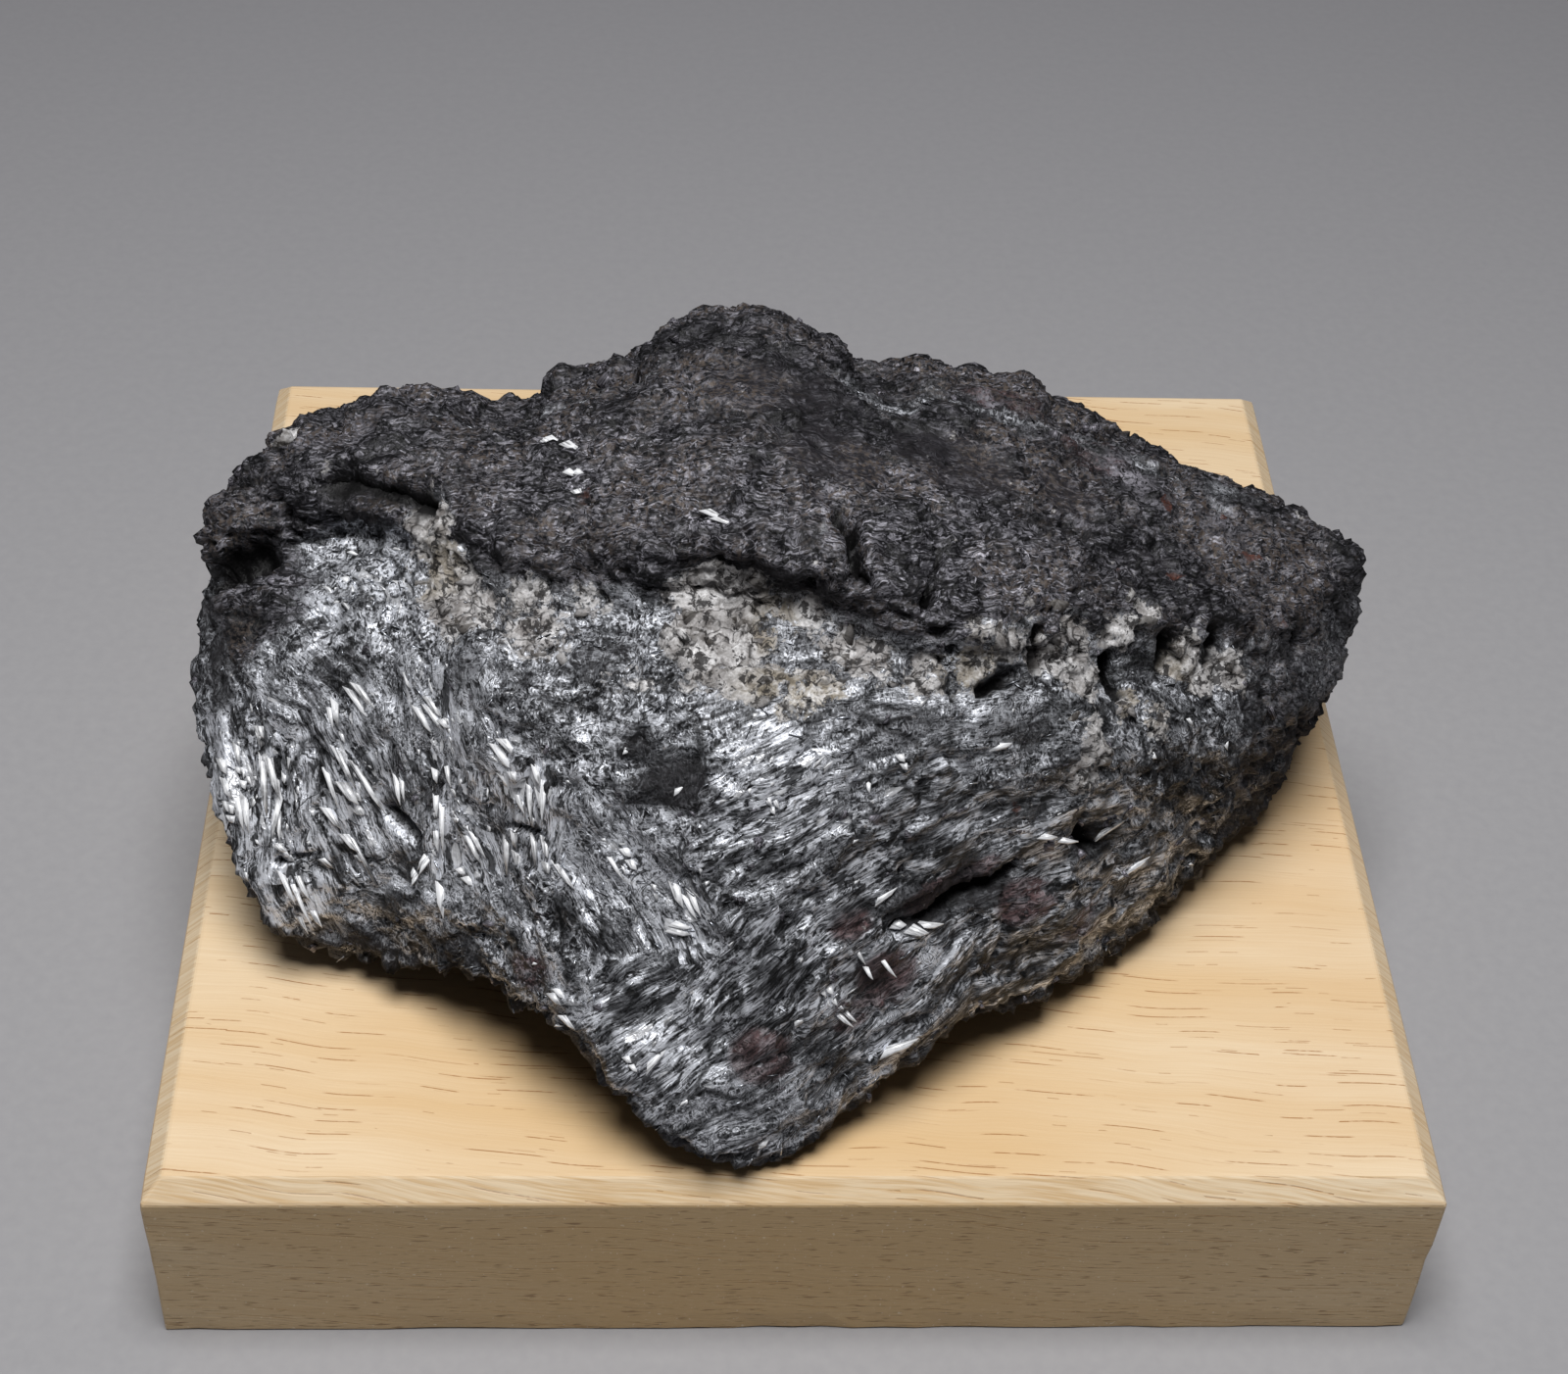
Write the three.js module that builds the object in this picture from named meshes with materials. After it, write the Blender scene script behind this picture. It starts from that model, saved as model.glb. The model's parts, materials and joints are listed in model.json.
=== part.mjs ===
// A livingstonite specimen resting on a square wooden display block.
// Millimetres, +Z up. The origin is the centre of the block's underside, +X runs to the
// right along the block's front edge and +Y runs away from the viewer.
import * as THREE from "three";
import { mergeVertices } from "three/addons/utils/BufferGeometryUtils.js";

// Driving dimensions.
const blockSide = 100; // the block is square
const blockHeight = 18.5;
const blockChamfer = 1.6; // leg of the 45 degree chamfer round the top edge
const restingGap = 0.3; // air between the stone's lowest points and the block
const stoneColumns = 52; // divisions along the stone, from its left end to its right end

// Flat facets left by the break: each about this wide and leaning this much its own way, with
// edges that are sharper the higher the crispness.
const facets = { size: 16, lean: 0.2, crispness: 10 };
// The top and front split along the fibres, so their facets stand out less: this share of it.
const facetShareOnFibres = 0.2;
// Small dents and bosses all over.
const dents = { size: 4, height: 0.45 };

// the hidden middles of the stone's two end faces
const leftEnd = [-48, -3, 33];
const rightEnd = [46, 0, 28];

// The stone's main lines. Each runs from the left end to the right end through eleven points,
// and together they go once round the stone: over the top, down the front, under it and up
// the back. `rows` is how many divisions the surface has from this line to the next.
const stoneLines = {
  // the skyline: a broad hump, a saddle and a second, lower hump, then a fall to the right
  crest: {
    rows: 7,
    points: [
      [-44.5, 10.5, 43], [-34.5, 10, 47.5], [-23.5, 6, 48.5], [-19.5, 7.5, 50], [-10.5, 11, 53],
      [-1, 13.5, 54], [6.5, 9.5, 51], [13, 12.5, 50], [25, 12.5, 45.5], [36, 8, 41], [45, 7, 37.5],
    ],
  },
  // the middle of the upper slab, gently crowned
  plateau: {
    rows: 6,
    points: [
      [-46, 5, 43.5], [-36, 4, 49], [-24.5, -4, 52.5], [-19, -4, 54], [-10, -4.5, 56.5], [-2.5, -5, 57],
      [5.5, -9, 55.5], [13, -6, 53.5], [24, -5, 49.5], [36, -3, 43], [48, 4, 36.5],
    ],
  },
  // the broken front edge of the upper slab
  ledge: {
    rows: 2,
    points: [
      [-48, -2, 43], [-36.5, -4.5, 50], [-24, -14, 53], [-18.5, -17, 54.5], [-10.5, -20, 57],
      [-3, -21.5, 58], [4.5, -24.5, 57], [11.5, -24.5, 54.5], [21.5, -19.5, 50.5], [32.5, -15.5, 44.5],
      [48.5, 1.5, 35],
    ],
  },
  // the foot of that edge, hollow at the left end and in the middle
  hollow: {
    rows: 5,
    points: [
      [-48, -4.5, 41], [-36, -4, 45], [-24, -17, 50], [-18.5, -19.5, 51], [-11, -21, 52.5],
      [-3, -20, 53], [4.5, -24, 52.5], [11.5, -25, 51], [21.5, -21, 47], [32.5, -16.5, 42],
      [48, -1, 34],
    ],
  },
  // the front of the pale band, where the stone turns down
  brow: {
    rows: 5,
    points: [
      [-47.5, -12, 39.5], [-32, -17.5, 46.5], [-22.5, -26, 49.5], [-17.5, -29, 50], [-12.5, -30.5, 50.5],
      [-4, -33, 51], [4.5, -32, 50], [12, -29, 48.5], [22, -26, 44], [33, -20, 39], [46, -7, 32],
    ],
  },
  // halfway down the steep, fibrous front
  front: {
    rows: 7,
    points: [
      [-47.2, -18, 34.5], [-32.5, -25, 37], [-22.5, -32, 39.5], [-17.5, -36, 40], [-12.5, -38, 39.5],
      [-4, -41.5, 39], [4.5, -39, 37.5], [12.5, -34, 37], [22.5, -29, 34.5], [31.5, -22.5, 31.5],
      [42.5, -10.5, 29],
    ],
  },
  // the lower edge, low at both sides and at its blunt point in the middle, and arched between
  lip: {
    rows: 7,
    points: [
      [-43, -28, 26.5], [-36, -29, 20.5], [-25.5, -35.5, 26.5], [-18, -42.5, 29], [-12, -47.5, 24],
      [-4, -48.5, 19.5], [4, -44.5, 21.5], [12.5, -39.5, 25], [21.5, -32, 22], [30.5, -23, 21],
      [39, -13.5, 22],
    ],
  },
  // the underside, front and back; it touches the block in three places
  soleFront: {
    rows: 9,
    points: [
      [-41.5, -15, 22], [-35, -19, 18.5], [-27, -19, 24], [-19, -22, 27], [-13, -30, 25],
      [-4, -36, 18.5], [5, -31, 20.5], [13, -25, 23.5], [21.5, -19, 19], [30, -14, 19.5], [39, -7, 21],
    ],
  },
  soleBack: {
    rows: 7,
    points: [
      [-43, -3, 23], [-35, -4, 21], [-27, -4, 22.5], [-19, -5, 24], [-12, -4, 22.5], [-3, 2, 19.5],
      [6, 3, 20.5], [14, 2, 20], [22, 1, 20.5], [30, 1, 21.5], [40, 0, 22.5],
    ],
  },
  // the back, lower and upper
  heel: {
    rows: 6,
    points: [
      [-43.5, 8, 26], [-35, 15, 23], [-26, 20, 21], [-19, 22.5, 20], [-12, 24.5, 19.5], [-4, 26, 18.5],
      [6, 25, 19.5], [14, 23.5, 20.5], [24, 19.5, 22], [33, 14, 23], [42, 7, 25],
    ],
  },
  back: {
    rows: 7,
    points: [
      [-45, 14, 36], [-35, 20, 37.5], [-26, 23, 38], [-19, 25, 38.5], [-12, 26.5, 39], [-4, 28, 39],
      [6, 27, 38], [14, 25.5, 37], [25, 21.5, 35.5], [35, 16.5, 34], [43.5, 12, 32],
    ],
  },
};

// A repeatable number from 0 to 1 for each corner of a unit lattice.
function latticeValue(i, j, k) {
  const s = Math.sin(i * 127.1 + j * 311.7 + k * 74.7) * 43758.5453;
  return s - Math.floor(s);
}

// The corners of a lattice cell, or of it and its neighbours, as offsets.
function offsets(steps) {
  return steps.flatMap((i) => steps.flatMap((j) => steps.map((k) => [i, j, k])));
}
const cellCorners = offsets([0, 1]);
const neighbourCells = offsets([-1, 0, 1]);

// Smooth noise from -1 to 1, blended between the lattice's corners.
function noise(x, y, z) {
  const base = [x, y, z].map(Math.floor);
  const blend = [x - base[0], y - base[1], z - base[2]].map((t) => t * t * (3 - 2 * t));
  let sum = 0;
  for (const corner of cellCorners) {
    const weights = corner.map((far, axis) => (far ? blend[axis] : 1 - blend[axis]));
    const value = latticeValue(base[0] + corner[0], base[1] + corner[1], base[2] + corner[2]);
    sum += weights[0] * weights[1] * weights[2] * value;
  }
  return 2 * sum - 1;
}

// Each of a lattice of scattered centres holds a facet that leans its own way, and the nearest
// centre counts for most.
function facetHeight(p) {
  const cell = p.clone().divideScalar(facets.size);
  const base = cell.clone().floor();
  let weightedHeight = 0;
  let totalWeight = 0;
  for (const [i, j, k] of neighbourCells) {
    const [a, b, c] = [base.x + i, base.y + j, base.z + k];
    const scatter = new THREE.Vector3(latticeValue(a, b, c), latticeValue(b, c, a), latticeValue(c, a, b));
    const away = new THREE.Vector3(a, b, c).add(scatter).sub(cell);
    const lean = scatter.subScalar(0.5).normalize();
    const weight = Math.exp(-facets.crispness * away.lengthSq());
    weightedHeight += weight * lean.dot(away);
    totalWeight += weight;
  }
  return (facets.lean * facets.size * weightedHeight) / totalWeight;
}

// How far the broken surface stands out of, or in from, the smooth one at a point.
function reliefAt(p, normal) {
  const behindOrBelow = THREE.MathUtils.smoothstep(normal.y - normal.z, 0, 0.8);
  const facetShare = THREE.MathUtils.lerp(facetShareOnFibres, 1, behindOrBelow);
  const dent = dents.height * noise(p.x / dents.size, p.y / dents.size, p.z / dents.size);
  return facetShare * facetHeight(p) + dent;
}

// One smooth curve along each main line, and a closed one round the stone through them at
// each column. The two ends are single points.
function stoneGeometry() {
  const toVector = (p) => new THREE.Vector3(...p);
  const smoothCurve = (points, closed) => new THREE.CatmullRomCurve3(points, closed, "centripetal");
  const lines = Object.values(stoneLines);
  const curves = lines.map((line) => smoothCurve([leftEnd, ...line.points, rightEnd].map(toVector), false));

  const grid = [toVector(leftEnd)];
  for (let column = 1; column < stoneColumns; column++) {
    const along = column / stoneColumns;
    const section = smoothCurve(curves.map((curve) => curve.getPoint(along)), true);
    lines.forEach((line, index) => {
      for (let row = 0; row < line.rows; row++)
        grid.push(section.getPoint((index + row / line.rows) / lines.length));
    });
  }
  grid.push(toVector(rightEnd));

  const rowCount = lines.reduce((sum, line) => sum + line.rows, 0);
  const lastPoint = grid.length - 1;
  const at = (column, row) => 1 + (column - 1) * rowCount + (row % rowCount);
  const triangles = [];
  for (let row = 0; row < rowCount; row++) {
    triangles.push(0, at(1, row + 1), at(1, row));
    for (let column = 1; column < stoneColumns - 1; column++) {
      const [a, b] = [at(column, row), at(column + 1, row)];
      const [c, d] = [at(column, row + 1), at(column + 1, row + 1)];
      triangles.push(a, c, b, b, c, d);
    }
    triangles.push(lastPoint, at(stoneColumns - 1, row), at(stoneColumns - 1, row + 1));
  }

  const geometry = new THREE.BufferGeometry().setFromPoints(grid);
  geometry.setIndex(triangles);
  return geometry;
}

// Breaks the smooth surface up, then flattens it where it would sink into the block.
function roughen(geometry) {
  geometry.computeVertexNormals();
  const position = geometry.getAttribute("position");
  const normal = geometry.getAttribute("normal");
  const floor = blockHeight + restingGap;
  for (let i = 0; i < position.count; i++) {
    const p = new THREE.Vector3().fromBufferAttribute(position, i);
    const n = new THREE.Vector3().fromBufferAttribute(normal, i);
    p.addScaledVector(n, reliefAt(p, n));
    position.setXYZ(i, p.x, p.y, Math.max(p.z, floor));
  }
  geometry.deleteAttribute("normal");
  geometry.computeVertexNormals();
  return geometry;
}

// A four-sided turned profile is a square block; its corners lie root two times as far out
// as its sides.
function blockGeometry() {
  const corner = (inset) => (blockSide / 2 - inset) * Math.SQRT2;
  const profile = [
    [0, 0],
    [corner(0), 0],
    [corner(0), blockHeight - blockChamfer],
    [corner(blockChamfer), blockHeight],
    [0, blockHeight],
  ].map(([x, y]) => new THREE.Vector2(x, y));
  const turned = new THREE.LatheGeometry(profile, 4, Math.PI / 4);
  turned.deleteAttribute("uv");
  turned.deleteAttribute("normal");
  const geometry = mergeVertices(turned);
  geometry.rotateX(Math.PI / 2);
  geometry.computeVertexNormals();
  return geometry;
}

function named(name, geometry, material) {
  const mesh = new THREE.Mesh(geometry, material);
  mesh.name = name;
  return mesh;
}

const livingstonite = new THREE.MeshStandardMaterial({ color: 0x3a3b40, roughness: 0.42, metalness: 0.6 });
const paleWood = new THREE.MeshStandardMaterial({ color: 0xd9b27c, roughness: 0.62, metalness: 0 });

const specimen = new THREE.Group();
specimen.add(named("display_block", blockGeometry(), paleWood));
specimen.add(named("livingstonite_stone", roughen(stoneGeometry()), livingstonite));

export default specimen;
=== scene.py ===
import bmesh
import bpy
import json
import math
import numpy as np
from functools import partial
from mathutils import Matrix, Vector, noise
from mathutils.bvhtree import BVHTree

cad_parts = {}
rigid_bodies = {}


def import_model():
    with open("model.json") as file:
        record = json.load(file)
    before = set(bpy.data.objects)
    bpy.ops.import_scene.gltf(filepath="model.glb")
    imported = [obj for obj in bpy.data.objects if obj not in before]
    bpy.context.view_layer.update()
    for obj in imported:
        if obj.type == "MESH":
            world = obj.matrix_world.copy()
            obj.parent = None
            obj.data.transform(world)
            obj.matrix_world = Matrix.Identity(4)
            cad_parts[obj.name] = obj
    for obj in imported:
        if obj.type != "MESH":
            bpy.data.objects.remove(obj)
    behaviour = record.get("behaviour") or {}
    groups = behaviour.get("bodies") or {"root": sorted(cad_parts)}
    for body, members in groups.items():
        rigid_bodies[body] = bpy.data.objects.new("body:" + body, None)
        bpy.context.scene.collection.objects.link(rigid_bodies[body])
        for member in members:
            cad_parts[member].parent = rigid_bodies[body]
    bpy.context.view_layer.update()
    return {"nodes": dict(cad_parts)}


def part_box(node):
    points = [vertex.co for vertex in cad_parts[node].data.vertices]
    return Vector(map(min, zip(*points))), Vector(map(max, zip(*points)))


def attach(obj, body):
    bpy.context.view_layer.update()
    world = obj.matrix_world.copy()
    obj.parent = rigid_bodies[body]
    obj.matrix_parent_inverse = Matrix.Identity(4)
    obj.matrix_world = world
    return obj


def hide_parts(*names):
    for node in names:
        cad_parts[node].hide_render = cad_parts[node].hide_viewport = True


# A livingstonite specimen on its wooden block. Lengths are in metres; mm turns a value in millimetres.
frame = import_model()
mm = 0.001
blockLow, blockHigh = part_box("display_block")
woodTop = blockHigh.z


def srgb(code):
    channels = [int(code[i:i + 2], 16) / 255 for i in (0, 2, 4)]
    return [c / 12.92 if c <= 0.04045 else ((c + 0.055) / 1.055) ** 2.4 for c in channels] + [1]


def addNode(tree, kind, *values, inputs=None, **settings):
    # kind may end in the node's operation or data type, as in "Math ADD" or "Mix RGBA"; the values fill
    # its enabled inputs in order, and a node that is given as a value stands for its first output
    kind, _, mode = kind.partition(" ")
    node = tree.nodes.new("ShaderNode" + kind)
    if mode:
        setattr(node, "data_type" if kind == "Mix" else "operation", mode)
    for name, value in settings.items():
        setattr(node, name, value)
    filled = list(zip([socket for socket in node.inputs if socket.enabled], values))
    filled += [(node.inputs[name], value) for name, value in (inputs or {}).items()]
    for socket, value in filled:
        if isinstance(value, bpy.types.Node):
            value = next(output for output in value.outputs if output.enabled)
        if isinstance(value, bpy.types.NodeSocket):
            tree.links.new(value, socket)
        else:
            socket.default_value = value
    return node


def newMaterial(name):
    # the material, and the function that adds a node to it
    material = bpy.data.materials.new(name)
    material.use_nodes = True
    material.node_tree.nodes.clear()
    return material, partial(addNode, material.node_tree)


def placeInMillimetres(add):
    return add("VectorMath MULTIPLY", add("TexCoord").outputs["Object"], (1000, 1000, 1000))


def newObject(name, mesh, material):
    obj = bpy.data.objects.new(name, mesh)
    bpy.context.scene.collection.objects.link(obj)
    mesh.materials.clear()
    mesh.materials.append(material)
    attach(obj, "root")
    return obj


def storeAttribute(mesh, name, values, domain="POINT"):
    values = np.asarray(values, np.float32)
    kind, field = ("FLOAT_VECTOR", "vector") if values.ndim == 2 else ("FLOAT", "value")
    mesh.attributes.new(name, kind, domain).data.foreach_set(field, values.ravel())


def readVectors(items, field):
    values = np.empty(len(items) * 3, np.float32)
    items.foreach_get(field, values)
    return values.reshape(-1, 3).astype(float)


def sample(points, function):
    return np.array([function(Vector(p)) for p in points])


def smoothStep(values, low, high):
    t = np.clip((values - low) / (high - low), 0, 1)
    return t * t * (3 - 2 * t)


def unit(vectors):
    return vectors / np.maximum(np.linalg.norm(vectors, axis=-1, keepdims=True), 1e-9)


# Where things are on the stone, in millimetres.
# Bundles of fibres: the middle, the way the fibres run, how far the bundle reaches, how bright its faces are
# painted (painted sheen), and how well its fibres keep in line.
fibreBundles = [
    (-44.5, -20.6, 35.6, 0.2, -0.7, -0.65, 5, 0.95, 0.8),
    (-41.6, -23, 34.9, 0.1, -0.65, -0.75, 5, 0.8, 1.0), (-39, -27.7, 27, 0.3, -0.35, -0.9, 4, 0.75, 0.95),
    (-34.5, -24.6, 35.9, 0.45, -0.55, -0.7, 7, 0.65, 0.95),
    (-27.4, -28.8, 36.6, 0.05, -0.5, -0.85, 4, 0.7, 0.75),
    (-24.3, -30.8, 36.6, 0.35, -0.7, -0.6, 4, 0.7, 0.7),
    (-20.6, -31.8, 41.7, 0.05, -0.45, -0.9, 4.5, 0.95, 1.0),
    (-28.1, -23.7, 44.7, 0.2, -0.7, -0.7, 4, 0.75, 0.6),
    (-22.1, -29.6, 44.6, 0.55, -0.65, -0.55, 3, 0.8, 0.6), (-38, -15, 44, 0.6, -0.8, 0, 7, 0.4, 0.3),
    (-32, -12.3, 46.3, 0.25, -0.95, 0.15, 5, 0.75, 0.35), (-31, -17.9, 45.9, 0.3, -0.95, -0.2, 4, 0.7, 0.3),
    (-36, -6, 45, 0.8, -0.4, 0.2, 6, 0.5, 0.35), (-43.9, -2.3, 43.3, 1, -0.15, 0.05, 6, 0.15, 0.2),
    (-46.1, -13.5, 38.6, 0.25, -0.9, -0.3, 4, 0.1, 0.1),
    (-30.6, -31.3, 25.5, 0.8, -0.55, 0.15, 6, 0.12, 0.15),
    (-21, -38.5, 31.4, 0.75, -0.65, 0.2, 5, 0.25, 0.3), (-13, -36.6, 41.5, 0.6, -0.5, -0.6, 4, 0.6, 0.5),
    (-9, -40, 38.8, 0.5, -0.65, -0.6, 3, 0.8, 0.6), (-18.1, -36.9, 35.8, 0.45, -0.7, -0.5, 6, 0.5, 0.4),
    (-10, -33.9, 47.4, 0.95, -0.15, 0.35, 4, 0.1, 0.1), (-17, -28.9, 48.9, 0.95, -0.35, 0.15, 6, 0.35, 0.2),
    (-11, -42.9, 30.4, 0.75, 0.25, 0.6, 6, 0.5, 0.95), (-3.9, -42.8, 36.4, 0.75, 0.3, 0.6, 6, 0.45, 0.85),
    (-1.9, -37.1, 46, 0.9, 0.35, 0.3, 7, 0.65, 0.8), (4, -31.8, 48.3, 0.95, 0.3, -0.1, 5, 0.4, 0.35),
    (3.2, -38, 40.8, 0.85, 0.5, 0.15, 5, 0.5, 0.85), (11.2, -33.7, 41.1, 0.85, 0.5, -0.05, 7, 0.4, 0.95),
    (14.1, -30.4, 44.9, 0.95, 0.3, -0.1, 5, 0.45, 0.4), (9.3, -37.3, 36.5, 0.8, 0.55, -0.1, 5, 0.05, 0.6),
    (7.3, -39.9, 31.5, 0.8, 0.5, 0.3, 6, 0.4, 0.85), (2.3, -43, 29.3, 0.75, 0.55, 0.35, 5, 0.45, 0.75),
    (17.4, -34.9, 27.5, 0.85, 0.55, -0.15, 6, 0.15, 1.0),
    (18.4, -31.9, 33.7, 0.85, 0.5, -0.1, 5, 0.2, 0.95),
    (23.6, -27.6, 34.4, 0.85, 0.55, -0.15, 3.5, 0.45, 0.6),
    (26.9, -26.7, 27.4, 0.8, 0.6, -0.15, 4, 0.4, 0.6), (-3.8, -46.5, 24.4, 0.85, 0.35, 0.35, 5, 0.35, 0.5),
    (31.2, -21.4, 37.4, 0.4, 0.05, -0.9, 6, 0.12, 0.2), (37.9, -14.2, 37.2, 0.3, -0.6, -0.75, 8, 0.04, 0.1),
    (-24, 2, 50, 0.9, -0.35, 0.2, 8, 0.3, 0.4), (-18, -8.7, 54.7, 0.75, -0.65, 0.25, 6, 0.45, 0.6),
    (-8, -14.9, 57.9, 0.85, -0.5, 0.2, 7, 0.3, 0.4), (-4, 4, 56, 1, 0.05, 0, 12, 0.06, 0.1),
    (12, -18, 55, 0.97, -0.1, -0.2, 8, 0.5, 0.5), (14, 0, 52, 0.95, -0.1, -0.3, 10, 0.05, 0.1),
    (28, -8, 47, 0.9, 0.1, -0.4, 9, 0.18, 0.3), (40, 0, 41, 0.85, 0.3, -0.4, 8, 0.08, 0.1),
    (-6, 24, 36, 0.9, 0.1, 0.4, 16, 0.25, 0.3), (28, 18, 33, 0.6, -0.3, 0.7, 14, 0.2, 0.3),
    (-34, 18, 33, 0.5, 0.4, -0.75, 14, 0.3, 0.3), (0, 0, 19, 0.8, -0.6, 0, 25, 0.15, 0.2),
]

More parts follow.
